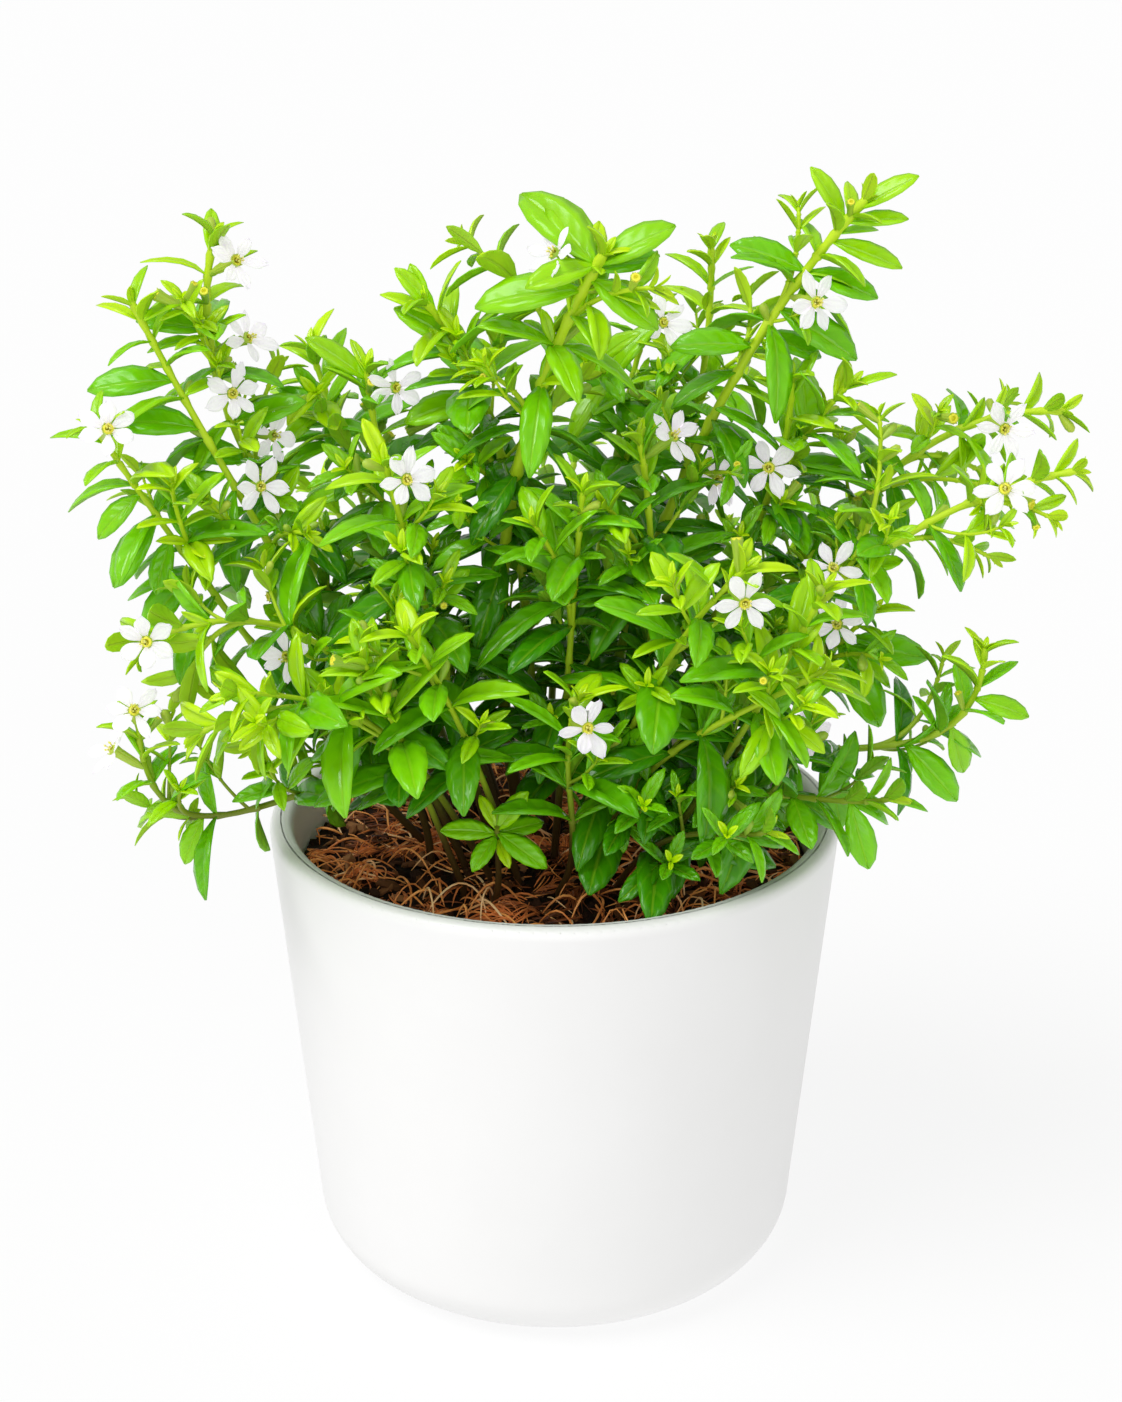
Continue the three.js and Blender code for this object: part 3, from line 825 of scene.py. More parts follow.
def pair_shares(path, first, spacing):
    """The shares of a path's length where pairs of leaves sit, closer together near the tip."""
    shares = []
    reach = path.length - LAST_PAIR_BELOW_TIP
    gap = TIP_PAIR_GAP
    while reach > first:
        shares.append(reach / path.length)
        reach -= gap
        gap = min(gap * PAIR_GAP_GROWTH, spacing)
    return shares[::-1]


stem_bark, bark = new_material("stem_bark", Roughness=0.5, Specular_IOR_Level=0.4)
bark_place = add_node(stem_bark, "TexCoord")
bark_split = add_node(stem_bark, "SeparateXYZ")
bark_height = remap(stem_bark, 0.095, 0.2)
bark_tone = add_ramp(stem_bark, [
    (0.0, (0.05, 0.022, 0.007)),
    (0.17, (0.09, 0.06, 0.010)),
    (0.32, (0.28, 0.42, 0.012)),
    (0.5, (0.46, 0.66, 0.012)),
    (1.0, (0.58, 0.80, 0.014)),
])
bark_streaks = object_texture(stem_bark, "TexNoise", Scale=700.0, Detail=3.0)
wire(
    stem_bark,
    (bark_place, "Object", bark_split, "Vector"),
    (bark_split, "Z", bark_height, "Value"),
    (bark_height, "Result", bark_tone, "Fac"),
    (bark_tone, "Color", bark, "Base Color"),
)
add_bump(stem_bark, bark, bark_streaks, "Fac", 0.35, 0.0002)

paths = {}
for name, (foot, lower, upper, tip, radius) in STEMS.items():
    stem = stem_path(foot, lower, upper, tip)
    rng = random.Random(name)
    bare = BARE_LENGTHS.get(name, BARE_LENGTH)
    shares = pair_shares(stem, bare * 0.8, LONG_PAIR_GAPS.get(name, PAIR_GAP))
    paths[name] = [(stem, radius / MM, shares)]
    for on, share, end in (*SHOOTS, *INNER_SHOOTS):
        if on == name:
            shoot = shoot_path(stem, share, end)
            shares = pair_shares(shoot, 0.006, SHOOT_PAIR_GAP)
            paths[name].append((shoot, SHOOT_RADIUS, shares))
    twig_gap = LONG_TWIG_GAP if name in LONG_PAIR_GAPS else TWIG_GAP
    for twig in side_twigs(stem, bare, twig_gap, rng):
        paths[name].append((twig, TWIG_RADIUS, pair_shares(twig, 0.004, TWIG_PAIR_GAP)))
    bpy.ops.object.select_all(action="DESELECT")
    bpy.ops.curve.primitive_nurbs_path_add()
    piece = bpy.context.object
    piece.name = "stem_" + name
    piece.data.splines.clear()
    piece.data.bevel_depth = STRAND_UNIT
    piece.data.bevel_resolution = 2
    piece.data.use_fill_caps = True
    for i, (path, base, shares) in enumerate(paths[name]):
        rooted = ROOTED_DEPTH if i == 0 else 0
        add_strand(piece.data, path, base, base * TIP_SHARE, shares, rooted)
    bpy.ops.object.convert(target="MESH")
    bpy.ops.object.shade_smooth_by_angle(angle=math.radians(60))
    piece.data.materials.append(stem_bark)
    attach(piece, "root")
    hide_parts("sprig_" + name)

# The leaves are thin and glossy, oblong with a narrow foot and a short point. Each arches over
# and has a pale midrib, side veins, and a paler underside. Eight patterns are shaped from a
# grid, one unit long, and every leaf on the plant is a copy of one of them. Their outline is the
# place along the leaf and the share of the full width there.
LEAF_OUTLINE = (
    (0.0, 0.10), (0.10, 0.32), (0.27, 0.76), (0.48, 1.0), (0.70, 0.95), (0.89, 0.60), (1.0, 0.08),
)


def shape_outline(piece, outline, width, bend):
    """Shapes a grid of unit length: each column is moved, narrowed and bent aside and down."""
    for column, (place, share) in enumerate(outline):
        x = column / (len(outline) - 1)
        pick_points(piece, lambda co: abs(co.x - x) < 0.005)
        bpy.ops.transform.resize(value=(1, share * width, share), center_override=(x, 0, 0))
        bpy.ops.transform.translate(value=(place - x, *bend(place)))


def apply_modifier(piece, kind, **values):
    """Adds a modifier with its values and applies it."""
    bpy.ops.object.modifier_add(type=kind)
    modifier = piece.modifiers[-1]
    for name, value in values.items():
        setattr(modifier, name, value)
    bpy.ops.object.modifier_apply(modifier=modifier.name)


def leaf_pattern(name, width, halves, arch, sideways):
    """A leaf from the origin along +X, one unit long. halves is how far its two halves swell."""
    leaf = start_shape(
        name,
        bpy.ops.mesh.primitive_grid_add,
        x_subdivisions=6,
        y_subdivisions=4,
        size=1,
        location=(0.5, 0, 0),
    )
    for row, lift in ((0.25, halves), (0.5, halves * 0.7)):
        pick_points(leaf, lambda co: abs(abs(co.y) - row) < 0.02)
        bpy.ops.transform.translate(value=(0, 0, lift))
    shape_outline(leaf, LEAF_OUTLINE, width, lambda at: (sideways * at * at, -arch * at * at))
    end_shape()
    leaf.data.materials.append(leaf_upper)
    leaf.data.materials.append(leaf_under)
    apply_modifier(leaf, "SOLIDIFY", thickness=0.014, offset=0, material_offset=1)
    return leaf


def calculate(material, operation, number=None):
    """Adds a node for a sum, whose second number can be fixed."""
    made = add_node(material, "Math", operation=operation)
    if number is not None:
        made.inputs[1].default_value = number
    return made


VEIN_BANDS = 42.0


def leaf_material(name, young, mature, deep, roughness, vein_color, vein_strength):
    """Leaf skin. tint goes from 0 for an old leaf to 1 for a new one, and painted shade lowers it
    in the middle of the plant and low on the right; U runs to the tip.
    """
    material, shader = new_material(
        name,
        Specular_IOR_Level=0.4,
        Subsurface_Weight=0.15,
        Subsurface_Radius=(0.5, 1.0, 0.05),
        Subsurface_Scale=0.0012,
    )
    tint = add_node(material, "Attribute", attribute_name="tint")
    tone = add_ramp(material, [(0.0, deep), (0.5, mature), (1.0, young)])
    coords = add_node(material, "UVMap")
    split = add_node(material, "SeparateXYZ")
    off_rib = calculate(material, "SUBTRACT", 0.5)
    aside = calculate(material, "ABSOLUTE")
    rib = remap(material, 0.015, 0.06, 1.0, 0.0)
    slant = calculate(material, "MULTIPLY_ADD", -0.5)
    ripeness = remap(material, 0.35, 0.85, 1.0, 0.15)
    ripple = calculate(material, "MULTIPLY")
    side_veins = calculate(material, "MULTIPLY")
    bands = calculate(material, "MULTIPLY", VEIN_BANDS)
    wave = calculate(material, "SINE")
    veins = remap(material, 0.6, 1.0, 0.0, 0.22)
    lines = calculate(material, "MAXIMUM")
    share = calculate(material, "MULTIPLY", vein_strength)
    paler = add_node(material, "Mix", data_type="RGBA", blend_type="MIX")
    paler.inputs[7].default_value = (*vein_color, 1)
    mottle = object_texture(material, "TexNoise", Scale=160.0, Detail=2.0)
    blotch = remap(material, 0.3, 0.7, 0.93, 1.06)
    shine = remap(material, 0.3, 0.7, roughness - 0.06, roughness + 0.08)
    mixed = add_node(material, "Mix", data_type="RGBA", blend_type="MULTIPLY")
    mixed.inputs[0].default_value = 1.0
    quilt = calculate(material, "MULTIPLY_ADD", -0.22)
    groove = calculate(material, "MULTIPLY_ADD", -0.8)
    wire(
        material,
        (tint, "Fac", tone, "Fac"),
        (coords, "UV", split, "Vector"),
        (split, "Y", off_rib, 0),
        (off_rib, 0, aside, 0),
        (aside, 0, rib, "Value"),
        (aside, 0, slant, 0),
        (split, "X", slant, 2),
        (slant, 0, bands, 0),
        (bands, 0, wave, 0),
        (wave, 0, veins, "Value"),
        (tint, "Fac", ripeness, "Value"),
        (wave, 0, ripple, 0),
        (ripeness, "Result", ripple, 1),
        (veins, "Result", side_veins, 0),
        (ripeness, "Result", side_veins, 1),
        (side_veins, 0, lines, 0),
        (rib, "Result", lines, 1),
        (lines, 0, share, 0),
        (share, 0, paler, 0),
        (mottle, "Fac", blotch, "Value"),
        (mottle, "Fac", shine, "Value"),
        (tone, "Color", mixed, 6),
        (blotch, "Result", mixed, 7),
        (mixed, 2, paler, 6),
        (paler, 2, shader, "Base Color"),
        (shine, "Result", shader, "Roughness"),
        (ripple, 0, quilt, 0),
        (mottle, "Fac", quilt, 2),
        (rib, "Result", groove, 0),
        (quilt, 0, groove, 2),
    )
    add_bump(material, shader, groove, 0, 0.5, 0.0004)
    return material


leaf_upper = leaf_material(
    "leaf_upper", (0.58, 0.92, 0.003), (0.20, 0.62, 0.002), (0.05, 0.28, 0.001), 0.2,
    (0.46, 0.80, 0.03), 0.3,
)
leaf_under = leaf_material(
    "leaf_under", (0.54, 0.84, 0.02), (0.32, 0.66, 0.02), (0.16, 0.44, 0.01), 0.45,
    (0.52, 0.76, 0.08), 0.4,
)
young_patterns = (
    leaf_pattern("leaf_young", 0.33, 0.10, 0.06, 0.03),
    leaf_pattern("leaf_narrow", 0.29, 0.10, 0.22, -0.06),
    leaf_pattern("leaf_opening", 0.36, 0.14, 0.30, 0.04),
)
spread_pattern = leaf_pattern("leaf_spread", 0.42, 0.10, 0.12, 0.05)
grown_patterns = (
    leaf_pattern("leaf_broad", 0.44, 0.06, 0.26, 0.05),
    leaf_pattern("leaf_even", 0.38, 0.09, 0.38, -0.07),
    leaf_pattern("leaf_arched", 0.35, 0.08, 0.52, 0.08),
    leaf_pattern("leaf_wavy", 0.40, 0.12, 0.42, -0.03),
)

# The biggest leaf of each stem. The long stems in front and the tall one in the middle have
# large leaves, and the flowering stems to the right have small ones.
LEAF_LENGTH = 0.0205
LEAF_LENGTHS = {
    "center_main": 0.0185,
    "center_left": 0.021,
    "right_long": 0.018,
    "left_long": 0.0195,
    "left_outer": 0.0185,
    "left_skirt": 0.0155,
    "right_sweep": 0.017,
    "left_tall": 0.0175,
    "vertical_right": 0.018,
    "right_high": 0.0155,
    "right_level": 0.0155,
    "front_seedling": 0.0165,
    "right_bushy": 0.018,
}

# Single large leaves of a stem: the share of its length where the leaf sits, its direction, its
# length and its tint. They spread from the tall tips, and make the rosette of the seedling.
LARGE_LEAF_FACE = Vector((0, -0.7, 0.8))
YOUNG_TINT = 0.69
LARGE_LEAVES = {
    "center_main": (
        (0.98, (-0.7, 0.6, 0.72), 23.5, 0.62),
        (0.97, (-0.46, 0.65, 0.88), 19.5, 0.64),
        (0.98, (0.88, 0, 0.48), 17.5, 0.6),
        (0.97, (0.95, 0.25, 0.22), 14.5, 0.5),
        (0.98, (-0.92, -0.4, -0.1), 15.5, 0.68),
        (0.94, (-0.97, 0, -0.05), 22, 0.6),
        (0.96, (0.75, -0.3, -0.5), 17, 0.6),
    ),
    "center_left": (
        (0.97, (-0.55, 0, 0.7), 13, 0.75),
        (0.9, (-0.75, -0.1, 0.6), 16, 0.65),
        (0.8, (-0.8, -0.3, -0.1), 18, 0.6),
    ),
    "upper_left": (
        (0.98, (-0.7, 0, 0.55), 16, 0.7),
    ),
    "right_long": (
        (0.96, (-0.5, 0, 0.85), 13.5, 0.75),
        (0.98, (0.88, -0.1, 0.52), 14.5, 0.75),
        (0.96, (0.97, -0.2, 0.1), 13, 0.7),
        (0.93, (0.9, -0.2, -0.3), 16, 0.7),
        (0.88, (0.93, -0.2, -0.28), 16, 0.5),
        (0.82, (0.84, -0.25, -0.48), 19.5, 0.45),
        (0.78, (0.92, 0.1, -0.35), 14.5, 0.4),
        (0.88, (-0.9, 0.05, 0.42), 16.5, 0.45),
        (0.76, (-0.98, -0.1, 0.12), 17.5, 0.45),
        (0.62, (0.8, -0.4, -0.35), 17.5, 0.4),
    ),
    "left_tall": (
        (0.86, (-0.8, -0.2, 0.25), 15, 0.55),
        (0.72, (0.75, -0.2, 0.3), 17, 0.5),
        (0.66, (-0.7, -0.35, 0.3), 17, 0.45),
    ),
    "vertical_right": (
        (0.7, (0.8, -0.3, -0.35), 16.5, 0.4),
        (0.6, (0.75, -0.4, 0.3), 17.5, 0.35),
    ),
    "right_high": (
        (0.3, (0.5, -0.5, 0.6), 16.5, 0.35),
        (0.42, (0.5, -0.45, -0.65), 16.5, 0.35),
        (0.5, (0.2, -0.3, 0.9), 15.5, 0.45),
        (0.58, (0.3, -0.3, -0.85), 16, 0.4),
    ),
    "right_level": (
        (0.46, (0.35, -0.4, -0.8), 16, 0.4),
    ),
    "left_long": (
        (0.87, (-0.98, -0.1, 0.02), 18, 0.45),
        (0.79, (-0.96, -0.1, 0.2), 18.5, 0.5),
        (0.71, (-0.92, -0.1, -0.3), 16.5, 0.45),
        (0.65, (-0.92, -0.2, -0.3), 16.5, 0.5),
    ),
    "left_outer": (
        (0.86, (-0.75, -0.2, -0.6), 13, 0.55),
        (0.81, (-0.62, -0.2, -0.74), 17.5, 0.5),
        (0.77, (-0.3, -0.4, -0.8), 12.5, 0.5),
        (0.7, (-0.7, -0.2, -0.68), 18, 0.5),
        (0.63, (-0.72, 0.2, -0.62), 16, 0.68),
    ),
    "left_skirt": (
        (0.7, (-0.45, -0.2, -0.85), 11.5, 0.6),
    ),
    "front_seedling": (
        (0.9, (-0.97, -0.1, 0.2), 12, 0.55),
        (0.88, (-0.45, -0.6, -0.35), 10, 0.5),
        (0.92, (0.75, -0.45, -0.4), 13, 0.5),
        (0.95, (0.5, -0.1, 0.7), 11, 0.65),
        (0.9, (0.9, 0.35, 0.1), 11, 0.5),
        (0.94, (-0.3, 0.3, 0.6), 8.5, 0.8),
        (0.85, (0.3, -0.8, -0.5), 8, 0.85),
    ),
    "right_sweep": (
        (0.44, (-0.15, -0.35, -0.92), 16.5, 0.35),
        (0.52, (0.15, -0.3, -0.94), 17.5, 0.4),
        (0.69, (0.68, -0.2, -0.7), 17.5, 0.5),
        (0.8, (0.3, 0.1, -0.92), 13, 0.6),
        (0.88, (0.95, -0.2, -0.25), 12.5, 0.6),
    ),
    "right_bushy": (
        (0.85, (0.97, -0.1, -0.12), 20, 0.5),
        (0.85, (0.42, -0.3, -0.82), 20.5, 0.5),
    ),
    "right_skirt": (
        (0.7, (0.15, -0.8, -0.35), 14, 0.4),
        (0.88, (0.25, -0.3, -0.9), 15, 0.5),
    ),
}


def leaf_place(point, out, above, length):
    """Where a leaf of this length goes, out from a point with its upper side to above."""
    side = above.cross(out)
    side = side.normalized() if side.length > 0.05 else out.orthogonal().normalized()
    up = out.cross(side).normalized()
    turn = Matrix((out, side, up)).transposed().to_4x4()
    return Matrix.Translation(point) @ turn @ Matrix.Scale(length, 4)


# A leaf that would hide a flower or meet the pot is lifted little by little, a few times.
LIFTS = 9
LIFT_STEP = Vector((0, 0, 0.22))


def clear_direction(point, out, length):
    """The direction nearest to out in which a leaf stays clear of pot and flowers, or None."""
    for _ in range(LIFTS):
        end = point + out * length
        places = [point.lerp(end, share) for share in (0.4, 0.7, 1)]
        blocked = any(meets_pot(place) or hides_flower(place) for place in places)
        if not hides_soil(end) and not blocked:
            return out
        out = (out + LIFT_STEP).normalized()
    return None


def painted_shade_at(point):
    """How much painted shade darkens the leaves at a point: in the middle of the plant, and low on
    the right.
    """
    away = Vector((point.x / 0.092, (point.y - 0.005) / 0.062, (point.z - 0.148) / 0.078)).length
    depth = max(0, 1 - away)
    lowness = max(0, 0.15 - point.z) / 0.03
    return 0.8 * depth + (0.52 if point.x > 0.005 else 0.08) * min(1.3, lowness)


# How far below a tip the leaves have their full size, and their mature shape and tone. Grown
# leaves droop when they stand high above the ground.
FULL_SIZE_BELOW_TIP = 0.024
GROWN_BELOW_TIP = 0.04
DROOP_HEIGHT = 0.13


def leaves_on(path, shares, largest, habit, rng):
    """The leaves of one stem or twig: crossed pairs, and small new ones in some axils."""
    made = []
    droop, new_leaves = (0.4, 0.1) if habit == "long" else (0.1, 0.26)

    def add_leaf(patterns, point, direction, above, length, tint):
        direction = clear_direction(point, direction, length)
        if direction is not None:
            place = leaf_place(point, direction, above, length)
            made.append((rng.choice(patterns), place, min(1, max(0, tint))))

    for pair, share in enumerate(shares):
        point, along = path.at(share)
        across = Vector((0, 0, 1)).cross(along)
        across = across.normalized() if across.length > 0.05 else Vector((1, 0, 0))
        from_tip = path.length * (1 - share)
        age = min(1, from_tip / GROWN_BELOW_TIP)
        length = largest * (0.48 + 0.52 * min(1, from_tip / FULL_SIZE_BELOW_TIP))
        lean = math.radians(38 + 42 * age + rng.uniform(-8, 8))
        for turn in (0, 180):
            angle = math.radians(45 + 90 * pair + turn + rng.uniform(-16, 16))
            out = Quaternion(along, angle) @ across
            direction = along * math.cos(lean) + out * math.sin(lean)
            if point.z > DROOP_HEIGHT:
                direction.z += (rng.uniform(-0.4, 0.25) - droop) * age
            else:
                direction.z += rng.uniform(0, 0.3)
            above = along * math.sin(lean) - out * math.cos(lean) + Vector((0, 0, 0.7))
            patterns = grown_patterns if rng.random() < age * 1.6 else young_patterns
            # The tint falls with age and with painted shade in the middle of the plant and low on
            # the right.
            tint = 0.88 - 0.5 * age - painted_shade_at(point) + rng.uniform(-0.2, 0.2)
            size = length * rng.uniform(0.8, 1.12)
            add_leaf(patterns, point, direction.normalized(), above, size, tint)
            if rng.random() < new_leaves and from_tip > 0.01:
                axil = point + out * 0.0006
                lift = (along * 0.8 + out * 0.6).normalized()
                for _ in range(rng.choice((2, 2, 3))):
                    aside = around(lift, rng.uniform(0, math.tau))
                    spread = math.radians(rng.uniform(25, 70))
                    direction = (lift * math.cos(spread) + aside * math.sin(spread)).normalized()
                    above = lift - direction * 0.3 + Vector((0, 0, 0.4))
                    size = length * rng.uniform(0.4, 0.65)
                    newer = tint + rng.uniform(0.1, 0.45)
                    add_leaf(young_patterns, axil, direction, above, size, newer)
    point, along = path.at(0.99)
    for i in range(3):
        aside = around(along, i * math.tau / 3 + 0.4)
        direction = (along + aside * rng.uniform(0.3, 0.6)).normalized()
        size = largest * rng.uniform(0.2, 0.3)
        add_leaf(young_patterns, point, direction, along * 0.3 - aside, size, 1)
    return made


for number, (name, parts) in enumerate(paths.items()):
    rng = random.Random(100 + number)
    copies = []
    for path, radius, shares in parts:
        size = LEAF_LENGTHS.get(name, LEAF_LENGTH)
        if path.length < 0.03:
            size *= 0.84
        habit = "long" if name in LONG_PAIR_GAPS and path.length > 0.1 else "bushy"
        copies += leaves_on(path, shares, size, habit, rng)
    for share, direction, length, tint in LARGE_LEAVES.get(name, ()):
        point, along = parts[0][0].at(share)
        place = leaf_place(point, Vector(direction).normalized(), LARGE_LEAF_FACE, length / MM)
        pattern = young_patterns[0] if tint > YOUNG_TINT else spread_pattern
        copies.append((pattern, place, tint))
    foliage = join_copies("leaves_" + name, copies)
    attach(foliage, "root")
    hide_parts("sprig_" + name)
for pattern in (*young_patterns, spread_pattern, *grown_patterns):
    bpy.data.objects.remove(pattern)

# The flowers stand singly in the axils. Each has a ribbed green tube, the calyx, which opens
# into six thin white petals, crinkled like tissue, round a yellow green throat with stamens.
PETAL_LENGTH = 0.0056
PETAL_OUTLINE = ((0.0, 0.20), (0.2, 0.52), (0.43, 0.92), (0.65, 1.0), (0.86, 0.72), (1.0, 0.22))
CALYX_MOUTH = 0.0013


def petal_pattern(name, width, cup, crease, seed):
    """A crinkled petal from the origin along +X, with its face up."""
    petal = start_shape(
        name,
        bpy.ops.mesh.primitive_grid_add,
        x_subdivisions=5,
        y_subdivisions=6,
        size=1,
        location=(0.5, 0, 0),
    )
    for row in (1, 3, 5):
        pick_points(petal, lambda co: abs(co.y + 0.5 - row / 6) < 0.02)
        bpy.ops.transform.translate(value=(0, 0, crease))
    shape_outline(petal, PETAL_OUTLINE, width, lambda at: (0, cup * at * (1.3 - at)))
    pick_points(petal, lambda co: co.x > 0.95)
    bpy.ops.transform.vertex_random(offset=0.13, seed=seed)
    bpy.ops.mesh.select_all(action="SELECT")
    bpy.ops.transform.vertex_random(offset=0.045, seed=seed + 1)
    bpy.ops.transform.resize(value=(PETAL_LENGTH,) * 3, center_override=(0, 0, 0))
    end_shape()
    apply_modifier(petal, "SOLIDIFY", thickness=0.00012, offset=0)
    apply_modifier(petal, "SUBSURF", levels=1, render_levels=1)
    return petal


petal_patterns = (
    petal_pattern("petal_flat", 0.56, 0.06, 0.07, 1),
    petal_pattern("petal_cupped", 0.62, 0.24, 0.08, 7),
    petal_pattern("petal_curled", 0.52, -0.16, 0.07, 13),
    petal_pattern("petal_waved", 0.60, 0.02, 0.11, 19),
)

# The calyx is a slim green tube with twelve ribs and a short tooth over every other one.
TUBE_SIDES = 24


def start_tube(name, sides, levels):
    """A tube that grows from a small foot through its levels, each a height and a radius."""
    tube = start_shape(
        name,
        bpy.ops.mesh.primitive_cone_add,
        vertices=sides,
        radius1=0.0004,
        radius2=0.0006,
        depth=0.001,
        location=(0, 0, 0.0005),
    )
    reached, wide = 0.001, 0.0006
    for height, radius in levels:
        pick_points(tube, lambda co: co.z > reached - 0.0001)
        extrude_up(height - reached)
        widen(radius / wide, height)
        reached, wide = height, radius
    return tube


def on_rib(co, sides, step):
    """Whether a point stands on every step-th line round a tube."""
    return round(math.atan2(co.y, co.x) / (math.tau / sides)) % step == 0


calyx_pattern = start_tube("calyx_pattern", TUBE_SIDES, (
    (0.0022, 0.00085), (0.0042, 0.00092), (0.006, 0.001), (CALYX_LENGTH, CALYX_MOUTH),
))
bpy.ops.mesh.inset(thickness=0.00018)
extrude_up(-0.0009)
bpy.ops.mesh.select_all(action="SELECT")
bpy.ops.mesh.normals_make_consistent(inside=False)
pick_points(
    calyx_pattern,
    lambda co: 0.0005 < co.z < CALYX_LENGTH + 0.0001 and on_rib(co, TUBE_SIDES, 2),
)
widen(1.13)
pick_points(
    calyx_pattern,
    lambda co: abs(co.z - CALYX_LENGTH) < 0.0001
    and math.hypot(co.x, co.y) > CALYX_MOUTH - 0.0001
    and on_rib(co, TUBE_SIDES, 4),
)
bpy.ops.transform.translate(value=(0, 0, 0.0005))
end_shape(50)

# The throat is a short gold ring, which stands in the mouth of the tube.
throat_pattern = start_shape(
    "throat_pattern",
    bpy.ops.mesh.primitive_cylinder_add,
    vertices=20,
    radius=CALYX_MOUTH * 0.88,
    depth=0.0012,
    location=(0, 0, -0.0002),
)
pick_points(throat_pattern, lambda co: co.z > 0)
bpy.ops.mesh.bevel(offset=0.0002, segments=2, affect="EDGES", clamp_overlap=False)
pick_points(throat_pattern, lambda co: co.z > 0.00039)
bpy.ops.mesh.inset(thickness=0.0003)
extrude_up(-0.0008)
widen(0.7)
end_shape(40)

# A stamen is a thin filament with a small anther at its end.
stamen_pattern = start_shape(
    "stamen_pattern",
    bpy.ops.mesh.primitive_cylinder_add,
    vertices=6,
    radius=0.00008,
    depth=0.0022,
    location=(0, 0, 0.0011),
)
pick_points(stamen_pattern, lambda co: co.z > 0.0021)
extrude_up(0.0002)
widen(3, 0.0024)
extrude_up(0.0003)
widen(0.5, 0.0027)
end_shape()

# The petals glow faintly in a pale pink white. This is painted light, in place of light that passes
# through the thin tissue.
petal_tissue, tissue = new_material(
    "petal_tissue",
    Roughness=0.6,
    Specular_IOR_Level=0.25,
    Emission_Color=(1, 0.87, 1, 1),
    Emission_Strength=0.34,
    Subsurface_Weight=0.6,
    Subsurface_Radius=(1, 1, 1),
    Subsurface_Scale=0.004,
)
tissue_coords = add_node(petal_tissue, "UVMap")
tissue_split = add_node(petal_tissue, "SeparateXYZ")
# Towards the tip the tone darkens to lilac grey: painted shade at the petal's edge.
tissue_tone = add_ramp(petal_tissue, [
    (0.0, (0.70, 0.66, 0.42)),
    (0.2, (0.84, 0.78, 0.92)),
    (0.5, (0.92, 0.89, 0.97)),
    (0.85, (0.88, 0.85, 0.96)),
    (1.0, (0.72, 0.69, 0.88)),
])
# Lilac lines follow the same noise that raises the crinkled creases. They are painted shade in the
# creases.
tissue_stretch = add_node(petal_tissue, "Mapping", Scale=(2.0, 16.0, 1.0))
tissue_crease_noise = add_node(petal_tissue, "TexNoise", Scale=1.0, Detail=3.0, Distortion=0.6)
tissue_crinkle = add_node(petal_tissue, "TexNoise", Scale=5.0, Detail=3.0)
tissue_crease_shade = remap(petal_tissue, 0.46, 0.66, 0.0, 0.75)
tissue_lilac_shade = add_node(petal_tissue, "Mix", data_type="RGBA", blend_type="MIX")
tissue_lilac_shade.inputs[7].default_value = (0.58, 0.53, 0.82, 1)
tissue_height = add_node(petal_tissue, "Math", operation="ADD")
wire(
    petal_tissue,
    (tissue_coords, "UV", tissue_split, "Vector"),
    (tissue_split, "X", tissue_tone, "Fac"),
    (tissue_crease_noise, "Fac", tissue_crease_shade, "Value"),
    (tissue_crease_shade, "Result", tissue_lilac_shade, 0),
    (tissue_tone, "Color", tissue_lilac_shade, 6),
    (tissue_lilac_shade, 2, tissue, "Base Color"),
    (tissue_coords, "UV", tissue_stretch, "Vector"),
    (tissue_stretch, "Vector", tissue_crease_noise, "Vector"),
    (tissue_coords, "UV", tissue_crinkle, "Vector"),
    (tissue_crease_noise, "Fac", tissue_height, 0),
    (tissue_crinkle, "Fac", tissue_height, 1),
)
add_bump(petal_tissue, tissue, tissue_height, 0, 0.55, 0.0003)


def green_skin(name, low, high, roughness):
    """Smooth green skin whose tone follows each copy's tint."""
    material, shader = new_material(
        name, Roughness=roughness, Subsurface_Weight=0.1, Subsurface_Scale=0.001,
    )
    tint = add_node(material, "Attribute", attribute_name="tint")
    tone = add_ramp(material, [(0.0, low), (1.0, high)])
    grain = object_texture(material, "TexNoise", Scale=1400.0, Detail=2.0)
    wire(
        material,
        (tint, "Fac", tone, "Fac"),
        (tone, "Color", shader, "Base Color"),
    )
    add_bump(material, shader, grain, "Fac", 0.25, 0.0001)
    return material


calyx_skin = green_skin("calyx_skin", (0.30, 0.50, 0.03), (0.52, 0.66, 0.06), 0.45)
throat_gold = green_skin("throat_gold", (0.76, 0.74, 0.03), (0.92, 0.88, 0.06), 0.6)
stamen_skin = green_skin("stamen_skin", (0.74, 0.74, 0.08), (0.92, 0.86, 0.24), 0.6)
for pattern in petal_patterns:
    pattern.data.materials.append(petal_tissue)
stamen_pattern.data.materials.append(stamen_skin)
calyx_pattern.data.materials.append(calyx_skin)
throat_pattern.data.materials.append(throat_gold)


def stand_at(point, direction):
    """Where a pattern goes that stands on a point, with its Z axis along a direction."""
    return Matrix.Translation(point) @ direction.to_track_quat("Z", "Y").to_matrix().to_4x4()


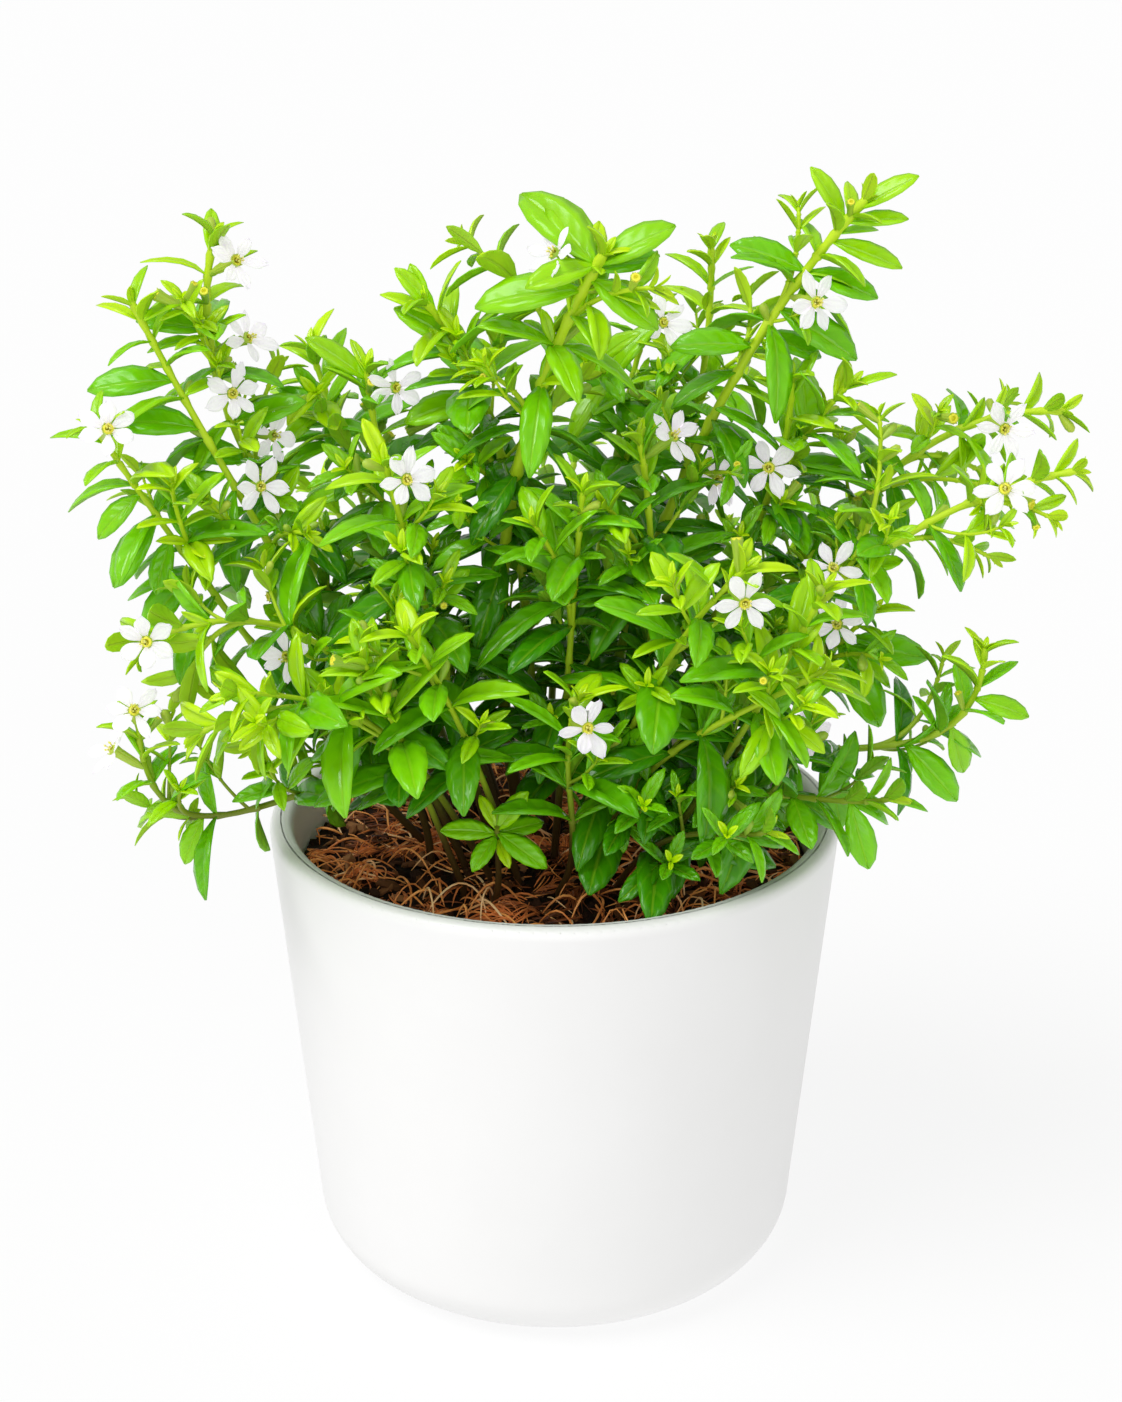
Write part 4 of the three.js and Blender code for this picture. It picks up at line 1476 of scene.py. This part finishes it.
PETALS = 6
STAMENS = 9
for number, (seat, toward, mouth, to_light) in enumerate(flower_faces, 1):
    rng = random.Random(500 + number)
    node = f"flower_{number:02d}"

    calyx_copy = (calyx_pattern, stand_at(seat, toward), rng.random())
    calyx = join_copies(f"calyx_{number:02d}", [calyx_copy])
    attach(calyx, "root")
    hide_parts(node)

    face = stand_at(mouth, to_light)
    first = rng.uniform(0, 360 / PETALS)
    petals = [(throat_pattern, face, rng.random())]
    for i in range(PETALS):
        angle = first + 360 / PETALS * i + rng.uniform(-10, 10)
        spin = Matrix.Rotation(math.radians(angle), 4, "Z")
        lift = Matrix.Rotation(-math.radians(rng.uniform(-6, 26)), 4, "Y")
        off = Matrix.Translation((CALYX_MOUTH * 0.7, 0, 0))
        grow = Matrix.Diagonal((rng.uniform(0.85, 1.1), rng.uniform(0.85, 1.15), 1, 1))
        pattern = rng.choice(petal_patterns)
        petals.append((pattern, face @ spin @ off @ lift @ grow, rng.random()))
    for i in range(STAMENS):
        angle = 360 / STAMENS * i + rng.uniform(-12, 12)
        spin = Matrix.Rotation(math.radians(angle), 4, "Z")
        lean = Matrix.Rotation(math.radians(rng.uniform(4, 24)), 4, "Y")
        sunk = Matrix.Translation((0, 0, -0.0008))
        grow = Matrix.Scale(rng.uniform(0.7, 1.2), 4)
        petals.append((stamen_pattern, face @ sunk @ spin @ lean @ grow, rng.random()))
    corolla = join_copies(f"petals_{number:02d}", petals)
    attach(corolla, "root")
    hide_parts(node)
for pattern in (*petal_patterns, stamen_pattern):
    bpy.data.objects.remove(pattern)

# Buds and spent calyces stand near the stem tips, without petals. A bud is a closed club, and
# a spent calyx is the same open tube as a flower's, smaller, with a gold ring in its mouth.
BUD_SIDES = 12
BUD_SHARE = 0.3
bud_pattern = start_tube("bud_pattern", BUD_SIDES, (
    (0.0026, 0.0009), (0.0045, 0.0011), (0.0056, 0.0009), (0.0062, 0.0003),
))
pick_points(bud_pattern, lambda co: 0.0015 < co.z < 0.0058 and on_rib(co, BUD_SIDES, 2))
widen(1.14)
end_shape()
bud_pattern.data.materials.append(calyx_skin)

rng = random.Random(77)
buds = []
for name, parts in paths.items():
    for path, radius, shares in parts:
        for share in shares[len(shares) // 2:]:
            if rng.random() >= BUD_SHARE:
                continue
            point, along = path.at(share)
            out = around(along, rng.uniform(0, math.tau))
            toward = (out + along * 0.7 + Vector((0, 0, 0.2))).normalized()
            if meets_pot(point + toward * 0.008):
                continue
            place = stand_at(point, toward) @ Matrix.Scale(rng.uniform(0.6, 1), 4)
            if rng.random() < 0.65:
                buds.append((bud_pattern, place, rng.random()))
            else:
                mouth = place @ Matrix.Translation((0, 0, CALYX_LENGTH))
                buds.append((calyx_pattern, place, rng.random()))
                buds.append((throat_pattern, mouth, rng.random()))
spent = join_copies("buds_and_spent_calyces", buds)
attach(spent, "root")
for pattern in (bud_pattern, calyx_pattern, throat_pattern):
    bpy.data.objects.remove(pattern)
